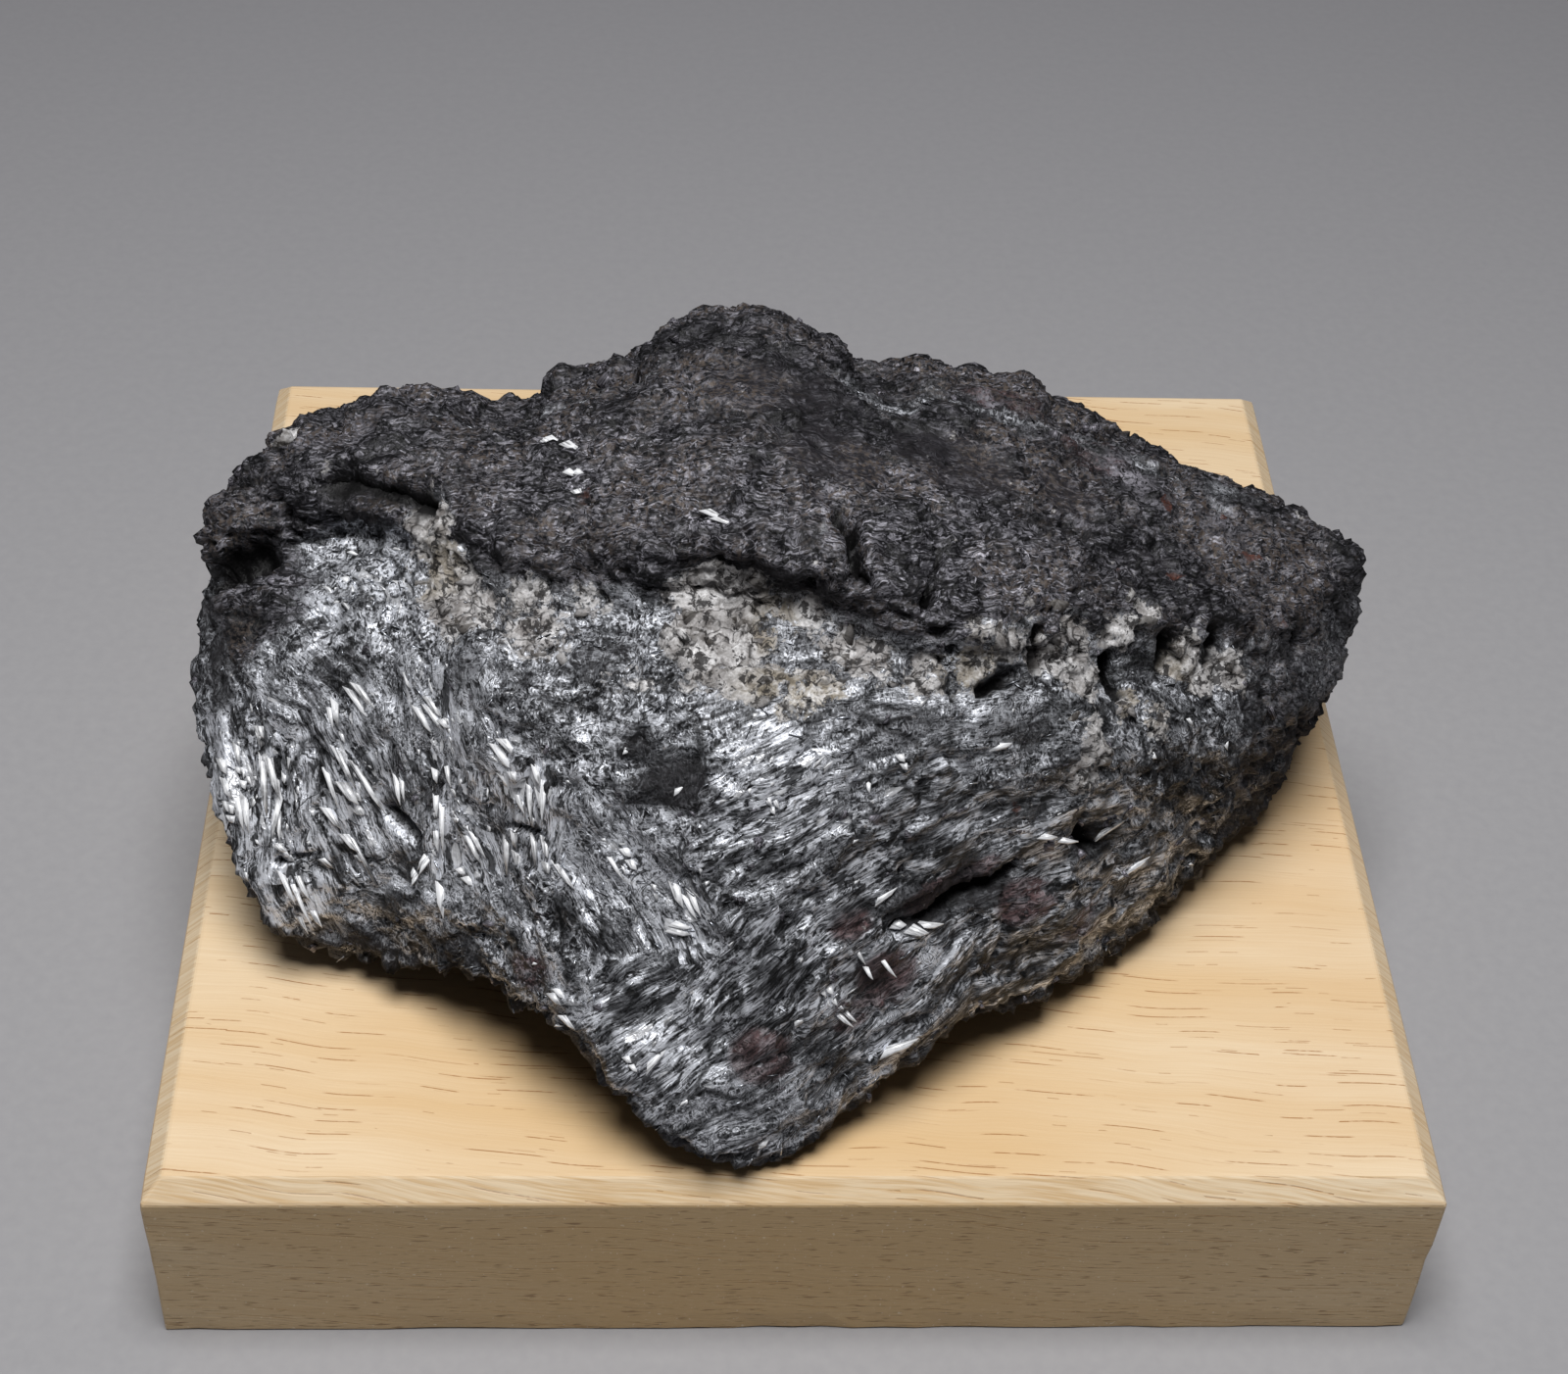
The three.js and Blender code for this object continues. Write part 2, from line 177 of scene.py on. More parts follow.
# Patches on the surface: middle, reach along x, y and z, and strength.
patches = {
    "vein": [
        (-29.8, -10.3, 50.6, 3.2, 3.5, 4, 0.9), (-27.9, -14.4, 48.3, 2.6, 4.5, 2, 0.8),
        (-27, -19.4, 48.9, 2, 3.5, 2, 0.5), (-26.8, -14.3, 49.3, 4.2, 4.5, 2, 1.0),
        (-25.9, -18.2, 49.1, 3.4, 3.4, 2, 0.85), (-20.9, -19.2, 50.8, 3, 2.5, 2, 0.7),
        (-20.2, -22.4, 50.4, 3.2, 3.2, 2, 0.65), (-16.5, -20.1, 51.4, 3, 1.5, 2, 0.5),
        (-13.5, -27.7, 51.3, 3.2, 1.6, 2, 0.5), (-6.5, -21.1, 53.5, 4.8, 2.5, 3, 1.1),
        (-6.7, -24.5, 52.3, 4.8, 3.8, 2, 1.25), (-4.5, -28.8, 52, 3.6, 2.2, 2, 0.85),
        (0, -28.6, 51.4, 3.2, 2.2, 2, 0.8), (-1.5, -31.2, 51.2, 2, 1.5, 2, 0.55),
        (0, -22, 52.5, 3, 2.5, 2.5, 0.6), (2.6, -25, 52, 2.2, 1.8, 2, 0.75),
        (-7.5, -28.6, 52.1, 2.6, 1.6, 2, 0.75), (4.1, -26.1, 51.8, 2.6, 3, 2, 0.75),
        (8.7, -26.9, 50.9, 2.2, 2.4, 2, 0.85), (12.2, -25.9, 50.8, 2.2, 2.5, 2.5, 0.75),
        (13.4, -24.8, 53.2, 2.5, 1.6, 1.8, 0.5), (16.7, -22.8, 52.4, 2, 1.8, 2, 0.5),
        (20.1, -21, 49.8, 2.2, 1.6, 2.6, 0.8), (19.4, -22, 47.9, 2.4, 2, 2, 0.8),
        (21.6, -23.1, 46.1, 1.5, 1.8, 2, 0.6), (24, -19, 48.5, 1.8, 1.4, 2, 0.6),
        (26, -16.9, 48.3, 1.8, 1.2, 1.4, 0.8), (30.2, -17.4, 44, 2.4, 1.9, 3, 1.2),
        (31.6, -17.6, 41.6, 2.6, 1.5, 1.6, 1.1), (34.3, -15.6, 41, 2.4, 2, 2, 1.1),
        (22, -26.4, 44.2, 1.8, 2.2, 2, 0.7), (22.1, -27.1, 42.6, 1.8, 1.8, 2.2, 1.15),
        (20.8, -28.2, 41.4, 1.8, 1.6, 2, 0.85), (27.4, -22.8, 42.4, 1.4, 2.4, 2.2, 0.65),
        (24.9, -22.5, 44.2, 1.2, 1.6, 1.6, 0.65), (-42.3, 7, 45.5, 2, 2.4, 2, 0.85),
        (17.5, -23, 49.5, 2.4, 1.8, 2, 0.8), (21, -22.5, 46.5, 2.4, 2, 2.2, 0.9),
        (15, -24, 51.5, 2.2, 1.8, 1.8, 0.8), (24, -19, 48, 2.2, 1.8, 2, 0.8), (6, 26, 34, 7, 3, 3, 0.6),
        (-14, 27, 30, 5, 3, 3, 0.5),
    ],
    "ochre": [
        (-28.9, -13.2, 49.1, 4, 3, 3, 0.8), (-2.5, -22.9, 52.4, 2, 3, 3, 0.9),
        (-1, -29.7, 51.7, 5, 3, 3, 1.0), (11.9, -25.8, 50.8, 3, 3, 3, 0.8),
        (28.8, -18.1, 42.6, 2.5, 2.5, 3, 0.7), (25.9, -22.4, 43.9, 3, 3, 3, 0.8),
        (17.4, -34.9, 27.5, 6, 4, 2, 0.8), (-41.1, -23, 34.9, 1.2, 3.5, 3, 0.35),
    ],
    "brown": [
        (6.3, -40.6, 32.4, 3, 3, 2.5, 1.0), (3.2, -39.5, 37.6, 2.2, 2, 1.6, 0.7),
        (12.3, -34, 37, 5, 2.5, 1.3, 0.8), (17.4, -33.1, 32.8, 5, 2, 2, 0.9),
        (9.3, -36.3, 36.9, 5, 2, 1.4, 0.9), (-3.1, -45.8, 29.6, 3, 2, 3, 0.8),
        (3.3, -42.2, 30.5, 2, 2, 2, 0.9), (-12, -37.9, 33.6, 3, 3, 3, 0.6),
        (-20, -39.2, 31.7, 5, 2, 2, 0.5), (21.6, -30.3, 28, 4, 3, 2, 0.6), (-5.9, -38.2, 40, 2, 2, 2, 0.4),
        (24, 2, 48, 5, 5, 3, 0.35), (18, 7, 50, 5, 3, 3, 0.5),
    ],
    # sooty patches; some, as those under the ledge and along the low rim, are painted shade
    "soot": [
        (9, -37, 36.5, 6, 2, 2.2, 0.75), (4, -41, 33, 3, 2, 2.2, 0.7), (14, -34, 35, 4, 2, 1.6, 0.7),
        (-9.8, -34.7, 47.3, 3.5, 3.5, 2.5, 0.8), (-13, -31.7, 49, 3, 3, 2, 0.5),
        (-34, -29.7, 23.7, 7, 3, 2.5, 0.8), (-26.3, -34.6, 28.2, 7, 3, 2.5, 0.6),
        (-46.1, -14.5, 39, 2.2, 6, 3, 0.8), (-47, -9.1, 40.1, 2, 3, 3, 0.7),
        (11.7, -34.8, 36.6, 7, 2, 1.2, 1.0), (22.3, -28.8, 35, 2, 2, 2, 1.0),
        (-19.5, -15.7, 51.6, 6, 2, 1.4, 0.9), (-3, -20.8, 55.9, 6, 2, 1.3, 1.0),
        (-25, -23.9, 48.2, 5, 2, 2, 0.7), (-15, -24.9, 50.9, 4, 2, 2, 0.7), (6, -31, 49.8, 8, 2, 2, 0.6),
        (15, -28, 47, 5, 2.5, 2, 0.6), (-24.3, -16.8, 50.1, 1.8, 1.6, 1.5, 0.8),
        (0.5, -24.4, 51.9, 1.6, 1.4, 1.4, 0.7), (28.2, -24.4, 39.4, 4, 4, 3, 0.6),
        (-27, -19.2, 47.2, 2, 2, 2, 0.6), (15.9, -27.3, 48.8, 3, 3, 1.5, 0.5),
        (-31.5, -26.1, 35.9, 1.6, 1.6, 1.6, 0.8), (-28.8, -27.7, 37.6, 0.8, 2, 2, 0.8),
    ],
    "dust": [
        (27.5, 1, 47.5, 3, 2.6, 1.6, 0.9), (29.5, -1.5, 46.8, 2.5, 2.5, 1.6, 0.7),
        (16.4, 7, 51, 1.8, 2.5, 1.6, 0.8), (22.5, -9, 50.5, 2, 1, 1, 0.6), (-37, 4, 48.3, 4, 3, 2, 0.4),
        (35, -2, 43.5, 3, 3, 2, 0.4), (-24, 3, 50, 3.5, 3, 1.5, 0.5),
    ],
    "cinnabar": [
        (37.2, -4.3, 42.6, 1.7, 0.6, 0.7, 1.0), (29.7, -3, 47, 0.6, 1.3, 0.7, 0.9),
        (29.4, -11.6, 47.2, 1.1, 0.5, 0.6, 0.9), (36, 0.5, 42.8, 0.6, 1.1, 0.7, 0.7),
        (-16.6, -12.6, 55.3, 1.1, 0.8, 0.6, 0.6), (16, -30.3, 40.6, 0.6, 1.1, 1, 0.6),
        (-9.9, 9.3, 53.9, 0.5, 0.5, 0.5, 0.8), (8.6, -24, 55.6, 0.5, 0.5, 0.5, 0.8),
        (14.8, 7.1, 51.4, 0.6, 0.7, 0.6, 0.6), (39, -10.1, 41.1, 0.7, 0.8, 0.6, 0.6),
        (24, -15, 50.3, 1, 0.5, 0.5, 0.5),
    ],
    # where painted sheen brightens the needles, and where it is taken away from the dull felt
    "glow": [
        (-44.5, -21.5, 33.5, 2.5, 3, 4, 1.0), (-39.5, -24.5, 32.5, 2, 3, 4.5, 0.9),
        (-40.5, -21, 36.5, 1.5, 2, 3, 0.7), (-33, -25.5, 35.5, 2, 3, 4.5, 0.9),
        (-34, -21.5, 41.5, 1.5, 2, 2.5, 0.8), (-27.5, -25.5, 43.5, 2, 2, 3, 0.9),
        (-23, -29.5, 45, 2, 1.5, 2.5, 1.0), (-20.5, -32, 43, 1.5, 2.5, 3.5, 1.0),
        (-26.5, -30, 36, 3, 3, 4, 1.0), (-19, -35.5, 39.5, 1.5, 2, 3, 0.7),
        (-16.5, -33, 46.5, 2, 1.5, 2, 0.6), (-13, -37, 41, 2, 1.5, 2, 0.8), (-9, -39.5, 40, 2, 1.5, 2, 1.0),
        (-12.5, -36, 43.5, 1, 1, 1, 0.7), (-5, -35.5, 48.5, 3, 1.5, 2, 0.8),
        (-0.5, -34.5, 49.5, 3, 1.5, 2, 0.7), (4.5, -34, 47, 4, 1.5, 2, 0.6),
        (1.5, -36.5, 45, 3, 1, 1.5, 0.6), (-38.5, -28, 27.5, 1.5, 2, 3, 1.0),
        (-23.5, -36, 32, 3.5, 1.5, 2.5, 0.75), (-17, -42.5, 32, 2, 1.5, 2, 0.9),
        (-10.5, -45, 30.5, 3.5, 1.5, 2, 0.85), (-9, -47, 28, 3, 1.5, 2, 0.6),
        (2.5, -42.5, 32, 2, 1.5, 2, 1.0), (9, -38.5, 33.5, 2.5, 1, 1.5, 0.9), (6, -43, 24, 2, 1, 1.5, 0.8),
        (19.5, -30, 35.5, 1.5, 1, 1, 0.8), (14.5, -29.5, 46, 1.5, 1, 1, 0.6),
        (-36, -11.5, 45, 4.5, 3, 4, 0.8), (-31.5, -13, 46.5, 2, 3.5, 5, 0.8),
        (-29.5, -22.5, 44.5, 1.5, 2, 2.5, 0.8), (-7, -34, 49.5, 3, 1, 1.5, 0.7),
        (27.5, -26.5, 29, 2.5, 1, 1.5, 0.6), (-33, -17.5, 45, 2, 1.5, 2, 0.7),
        (-20, -4.5, 53.5, 1.5, 1, 1.5, 1.0), (-17.5, -10, 55, 1, 1, 1.5, 1.0),
        (-7.5, -18, 58.5, 2.5, 1, 1.5, 0.8),
    ],
    "shade": [
        (9, -37, 36.5, 6, 2, 2.4, 0.9), (5, -40.5, 33.5, 3, 2, 2.4, 0.8), (-2, -38, 42, 3, 2, 1.6, 0.5),
        (-36, -18.5, 43, 2.5, 1.5, 2, 1.0), (-28.5, -27, 39, 1, 1.5, 2, 0.8),
        (-24.5, -29.5, 41, 1, 1.5, 2, 0.7), (-30, -29, 32.5, 2, 1.5, 2, 0.8),
        (-32, -30, 28.5, 3, 1, 1.5, 0.8), (-19, -29.5, 48.5, 3, 1.5, 2, 0.6),
        (-10, -34.5, 47, 4, 1.5, 2.5, 1.0), (-7.5, -34.5, 49, 2.5, 1, 1.5, 0.8),
        (-16.5, -27, 51, 3, 1, 1.5, 0.6), (-14.5, -39.5, 36.5, 2.5, 1.5, 2.5, 0.8),
        (-18, -38, 37, 1.5, 1.5, 2, 0.6), (-2, -43, 35, 3.5, 1.5, 2, 0.7), (3.5, -39.5, 38, 3, 1.5, 2, 0.8),
        (11, -34, 39, 5, 1, 1.5, 0.8), (14, -33.5, 35, 3.5, 1.5, 2, 0.9), (7.5, -35, 41, 3, 1, 1.5, 0.6),
        (17.5, -30, 40.5, 2.5, 1, 1.5, 0.7), (23.5, -28, 34.5, 3, 1.5, 2.5, 0.9),
        (30, -23, 35.5, 4, 2, 3, 0.6), (-44, -13, 42, 2.5, 2, 3, 0.8), (-13, -43, 32, 2, 1.5, 2, 0.7),
        (-3, -45, 31, 3, 1.5, 2, 0.6), (2, -44.5, 28, 2, 1.5, 2, 0.6), (-12.5, -32.5, 49, 2.5, 1.5, 2, 0.6),
        (-4.5, -42, 38.5, 2.5, 1.5, 2, 0.6), (-37, -23, 37, 1, 2, 3, 0.7), (-36, -27, 30, 1, 1.5, 2.5, 0.6),
        (-23, -31.5, 38.5, 1, 1.5, 2.5, 0.7), (-15, -35, 43.5, 2, 1, 1.5, 0.6),
        (20, -28, 44, 3, 1, 1.5, 0.5),
    ],
    # the smooth slaty parts of the upper slab and the front
    "slaty": [
        (2, -9, 57, 6, 5, 3, 0.8), (12, -6, 54, 7, 5, 3, 1.0), (-2, 0, 57, 8, 6, 3, 0.7),
        (21, -6, 50.5, 4, 4, 2, 0.8), (16.9, -31.6, 36.4, 3.4, 2, 1, 1.0),
        (-33.9, -19.4, 43.1, 1.8, 1.6, 1.4, 1.0), (-35.6, -16.6, 44.6, 1.4, 1.4, 1.2, 1.0),
        (0.5, -15.5, 57.4, 2, 1.5, 1.5, 0.8), (28, -10.5, 48, 2, 1.5, 1.5, 0.7),
    ],
}

# Cracks, hollows and pits: ends, half width, depth.
openings = [
    (2.2, -15.5, 58, 2.6, -19, 58, 0.5, 2.6), (2.6, -18, 58, 3.4, -24, 57.5, 0.75, 3.2),
    (-5, -15, 58.5, 2.4, -18.4, 58, 0.22, 0.8), (9.9, -18.5, 56.5, 8.4, -25, 56, 0.4, 2.2),
    (9.9, -18.5, 56.5, 14, -19.5, 55, 0.3, 1.0), (5, -19.5, 57.5, 9.7, -18.8, 56.5, 0.2, 0.7),
    (-44, -8.5, 42.7, -41.4, -5, 43.4, 0.3, 1.0), (-41.4, -5, 43.4, -37.5, -4.4, 44.6, 0.3, 1.0),
    (-37.5, -4.4, 44.6, -32.9, -7.8, 48.9, 0.3, 1.0), (-47.9, -6, 40, -43.6, -6, 42.6, 1.7, 3.0),
    (-37, -4.4, 50, -33, -7.2, 51.4, 1.5, 3.4), (-33, -7.2, 51.4, -30.5, -8.6, 51.6, 1.6, 2.8),
    (-46.5, 1.5, 44.5, -43, -0.5, 46, 0.8, 1.4), (28.3, -17.6, 46.1, 28.6, -18.7, 44.6, 0.9, 3.0),
    (33, -14.8, 44.2, 33.2, -16.1, 42.7, 0.8, 2.6), (32.8, -16.1, 42.2, 33.3, -16.4, 41.4, 0.4, 1.0),
    (23.7, -20.7, 46.6, 24.1, -22, 43.9, 0.8, 2.8), (29.3, -18.3, 42.3, 29.7, -18.5, 41.8, 0.5, 1.2),
    (41.3, -9.6, 39.2, 41.4, -9.5, 36.6, 0.5, 1.6), (37.5, -15.4, 38.6, 37.9, -15.8, 36, 0.35, 1.4),
    (-17, 6, 51.6, -17, 15, 47.5, 0.35, 2.8), (25, -2.6, 49, 26, -4.8, 48.6, 0.4, 1.6),
    (20.5, -9.8, 51.4, 21.8, -11.4, 50.8, 0.35, 1.4), (32.6, -3.4, 45.6, 32, -1, 45.8, 0.35, 1.6),
    (-12.7, -22.4, 54.3, -12.5, -27.3, 51.1, 0.3, 1.2), (-12, -26.8, 52, 3.9, -26.7, 51.7, 0.22, 0.9),
    (10.4, -25.9, 52.3, 10.8, -28.2, 49.8, 0.5, 1.4), (12.9, -26.9, 49.4, 15.9, -25.3, 49.5, 0.6, 1.6),
    (17.3, -22.4, 51.3, 17.8, -23.8, 48.3, 0.5, 1.6), (-23.6, -18, 50.4, -22.6, -22.6, 49.6, 0.35, 1.2),
    (-31.6, -26.4, 35.3, -30.1, -28.1, 34.4, 0.7, 1.2), (-28.8, -26.6, 39.6, -29.1, -28.9, 35.5, 0.35, 1.0),
    (-22, -32, 39.6, -18.7, -34.1, 41, 0.3, 0.9), (6.3, -38.3, 35.4, 16.4, -32.4, 35.5, 0.6, 1.6),
    (21.5, -29.1, 36.1, 22.8, -28.4, 33.6, 0.6, 1.6), (-40.9, -26.5, 29.7, -37.3, -26.9, 31, 0.3, 0.9),
]

# Lumps that stand out along the skyline and the rim: middle, radius, height.
lumps = [
    (-19.8, 15.5, 46.2, 2.0, 1.5), (-18.2, 11.5, 49, 1.6, 0.9), (-15, 12, 49.5, 2.0, 1.3),
    (-13.6, 9, 52, 1.6, 0.7), (-42.2, 7.5, 45, 2.0, 0.6), (-34.2, 12, 46, 1.6, 0.9),
    (-31.5, 14.5, 44.4, 1.4, 0.6), (30.2, 10.4, 44, 1.3, 0.9), (33.6, 10.4, 42.2, 1.2, 0.9),
    (36, 9.8, 41.2, 0.9, 0.7), (43.6, 5.5, 39.6, 1.6, 0.7), (48.2, 1.5, 37, 2.4, 0.7),
    (10.7, 14.5, 48.6, 2.4, 0.9), (-40.8, -33, 31, 2.4, 0.7), (-37, -36, 30, 2.4, 0.5),
    (-45.4, -21.3, 32.2, 2.0, 0.5), (47.6, -2, 34, 2.4, 0.5), (29.3, -25.1, 26.8, 1.8, 0.6),
]

# How much lower the skyline of the finished stone is than the solid it starts from: x, drop.
skyline = {
    "x": (-46, -43, -40.5, -38.5, -36.4, -34, -32, -29, -27, -24.5, -21.8, -20.8, -18.7, -15.7, -14, -12.8,
          -11, -8, -4.6, -1, 2, 4, 6, 8.2, 10.7, 14, 17, 20.5, 22.5, 25, 28, 30, 32, 34, 37.6, 43, 45, 47, 49),
    "drop": (1.4, 1.6, 0.9, 1.8, 0.8, 0.3, 0.6, 1.2, 1.8, 2.4, 2.5, 1.2, 1.6, 1.8, 2.1, 1.6, 0.5,
             0.2, 0.4, 0.8, 0.7, 0.6, 2.0, 1.8, 0.9, 1.4, 1.0, 0.6, 1.6, 1.3, 1.4, 1.3, 0.8, 0.8, 0.6,
             0.4, 1.6, 0.7, 0.1),
}

studio = {"floorSide": 4.0, "softboxSide": 0.22, "softboxPlace": (-0.015, -0.085, 0.5), "softboxPower": 2.65,
          "ambient": 0.07, "paintedFalloffFrom": 0.02, "paintedFalloffTo": 0.30}
view = {"lookAt": (1.44 * mm, 24.46 * mm, 0), "distance": 274.2 * mm, "azimuth": -3.70, "elevation": 43.93,
        "roll": 3.05, "fieldOfView": 31.955}


def makeCamera():
    side, up = math.radians(view["azimuth"]), math.radians(view["elevation"])
    back = Vector((math.sin(side) * math.cos(up), -math.cos(side) * math.cos(up), math.sin(up)))
    data = bpy.data.cameras.new("camera")
    data.sensor_fit = "HORIZONTAL"
    data.angle = math.radians(view["fieldOfView"])
    data.clip_start = 0.01
    camera = bpy.data.objects.new("camera", data)
    bpy.context.scene.collection.objects.link(camera)
    turn = back.to_track_quat("Z", "Y").to_matrix().to_4x4()
    turn = turn @ Matrix.Rotation(math.radians(view["roll"]), 4, "Z")
    camera.matrix_world = Matrix.Translation(Vector(view["lookAt"]) + back * view["distance"]) @ turn
    bpy.context.scene.camera = camera


makeCamera()
print("camera ready")


body = {"voxel": 0.785 * mm, "seenFrom": (0, -0.62, 0.78), "fineFrom": -0.1, "airUnder": 0.25 * mm,
        "airUnderCrumbs": 0.2,
        "softLedges": [((-30, -9, 51), (-12, -19.5, 54), 4.0, 20),
                       ((4, -23.5, 54.5), (16, -22, 51.5), 3.5, 20)]}
bundlePlaces = np.array([b[:3] for b in fibreBundles], float)
bundleWays = unit(np.array([b[3:6] for b in fibreBundles], float))
bundleReach, bundleShine, bundleOrder = (np.array([b[i] for b in fibreBundles], float) for i in (6, 7, 8))


def nearBundles(points):
    wander = np.stack([sample(points * 0.3 + shift, noise.noise) for shift in (0, 37, 91)], 1) * 3.0
    wander += np.stack([sample(points * 1.1 + shift, noise.noise) for shift in (11, 53, 71)], 1) * 0.8
    apart = np.linalg.norm((points + wander)[:, None] - bundlePlaces[None], axis=2) / bundleReach[None]
    weight = np.maximum(apart, 0.05) ** -5
    return apart.argmin(1), weight @ bundleShine / weight.sum(1), weight @ bundleOrder / weight.sum(1)


def bundleFrames(points, normals):
    # each bundle's own across, along and up, from the mean normal of the surface round it
    frames = []
    for place, way, reach in zip(bundlePlaces, bundleWays, bundleReach):
        weight = np.exp(-(np.linalg.norm(points - place, axis=1) / max(reach, 4)) ** 2)
        up = (normals * weight[:, None]).sum(0)
        across = unit(np.cross(way, up))
        frames.append((across, way, np.cross(across, way)))
    return np.array(frames)


def patchStrength(points, rows):
    strength = np.zeros(len(points))
    for *place, strong in rows:
        apart = np.linalg.norm((points - place[:3]) / place[3:], axis=1)
        strength = np.maximum(strength, strong * (1 - smoothStep(apart, 0.45, 1.25)))
    return strength


def fromSegment(points, start, end):
    start, end = np.array(start, float), np.array(end, float)
    line = end - start
    t = np.clip((points - start) @ line / (line @ line), 0, 1)
    return np.linalg.norm(points - start - t[:, None] * line, axis=1)


def cellSteps(points, seed):
    # a level from -1 to 1 for each cell of a scattered lattice, and how near the cell's border is
    def level(p):
        distances, places = noise.voronoi(p)
        return noise.cell(places[0] * 31.7 + Vector((seed, seed, seed))), distances[1] - distances[0]
    found = sample(points + seed * 13.1, level)
    return found[:, 0], found[:, 1]


def onSlab(points):
    # the dull upper slab lies above the vein, and its dull skin goes on over the back and the right end
    above = np.interp(points[:, 0], [-50, -44, -38, -30, -22, -14, -4, 6, 12, 20, 30, 38, 48],
                      [40, 41, 45, 50, 50.8, 53, 54.6, 54, 52.6, 49.4, 45.6, 41, 36])
    ragged = sample(points * 0.4, noise.noise)
    slab = smoothStep(points[:, 2] - above + 0.8 * ragged, -0.7, 0.7)
    slab = np.maximum(slab, smoothStep(points[:, 1] + 2 * ragged, 3, 6))
    return np.maximum(slab, 0.8 * smoothStep(points[:, 0] + 2 * ragged, 33, 38))


def makeBodyMesh():
    merged = bmesh.new()
    merged.from_mesh(frame["nodes"]["livingstonite_stone"].data)
    bmesh.ops.remove_doubles(merged, verts=merged.verts, dist=0.001 * mm)
    rough = bpy.data.meshes.new("stoneCopy")
    merged.to_mesh(rough)
    merged.free()
    obj = bpy.data.objects.new("stoneCopy", rough)
    bpy.context.scene.collection.objects.link(obj)
    remesh = obj.modifiers.new("remesh", "REMESH")
    remesh.mode = "VOXEL"
    remesh.voxel_size = body["voxel"]
    mesh = bpy.data.meshes.new_from_object(obj.evaluated_get(bpy.context.evaluated_depsgraph_get()))
    bpy.data.objects.remove(obj)

    bm = bmesh.new()
    bm.from_mesh(mesh)
    seenFrom = Vector(body["seenFrom"]).normalized()
    fine = [f for f in bm.faces if f.normal.dot(seenFrom) > body["fineFrom"]]
    edges = list({e for f in fine for e in f.edges})
    bmesh.ops.subdivide_edges(bm, edges=edges, cuts=1, use_grid_fill=True)
    bmesh.ops.smooth_vert(bm, verts=bm.verts, factor=0.5, use_axis_x=True, use_axis_y=True, use_axis_z=True)
    bmesh.ops.triangulate(bm, faces=[f for f in bm.faces if len(f.verts) > 4])
    # the step above the vein leans back instead of standing upright
    for start, end, reach, rounds in body["softLedges"]:
        places = np.array([v.co[:] for v in bm.verts]) / mm
        bm.verts.ensure_lookup_table()
        near = [bm.verts[i] for i in np.nonzero(fromSegment(places, start, end) < reach)[0]]
        for _ in range(rounds):
            bmesh.ops.smooth_vert(bm, verts=near, factor=0.5, use_axis_x=True, use_axis_y=True,
                                  use_axis_z=True)
    bm.to_mesh(mesh)
    bm.free()
    return mesh


def correctShape(mesh):
    places, normals = readVectors(mesh.vertices, "co") / mm, readVectors(mesh.vertex_normals, "vector")
    # the skyline is lower and more broken than the plain solid
    drop = np.interp(places[:, 0], skyline["x"], skyline["drop"]) * smoothStep(places[:, 1], 1, 8)
    drop *= smoothStep(normals[:, 2], -0.2, 0.4)
    places -= normals * drop[:, None]
    mesh.vertices.foreach_set("co", (places * mm).astype(np.float32).ravel())
    mesh.update()


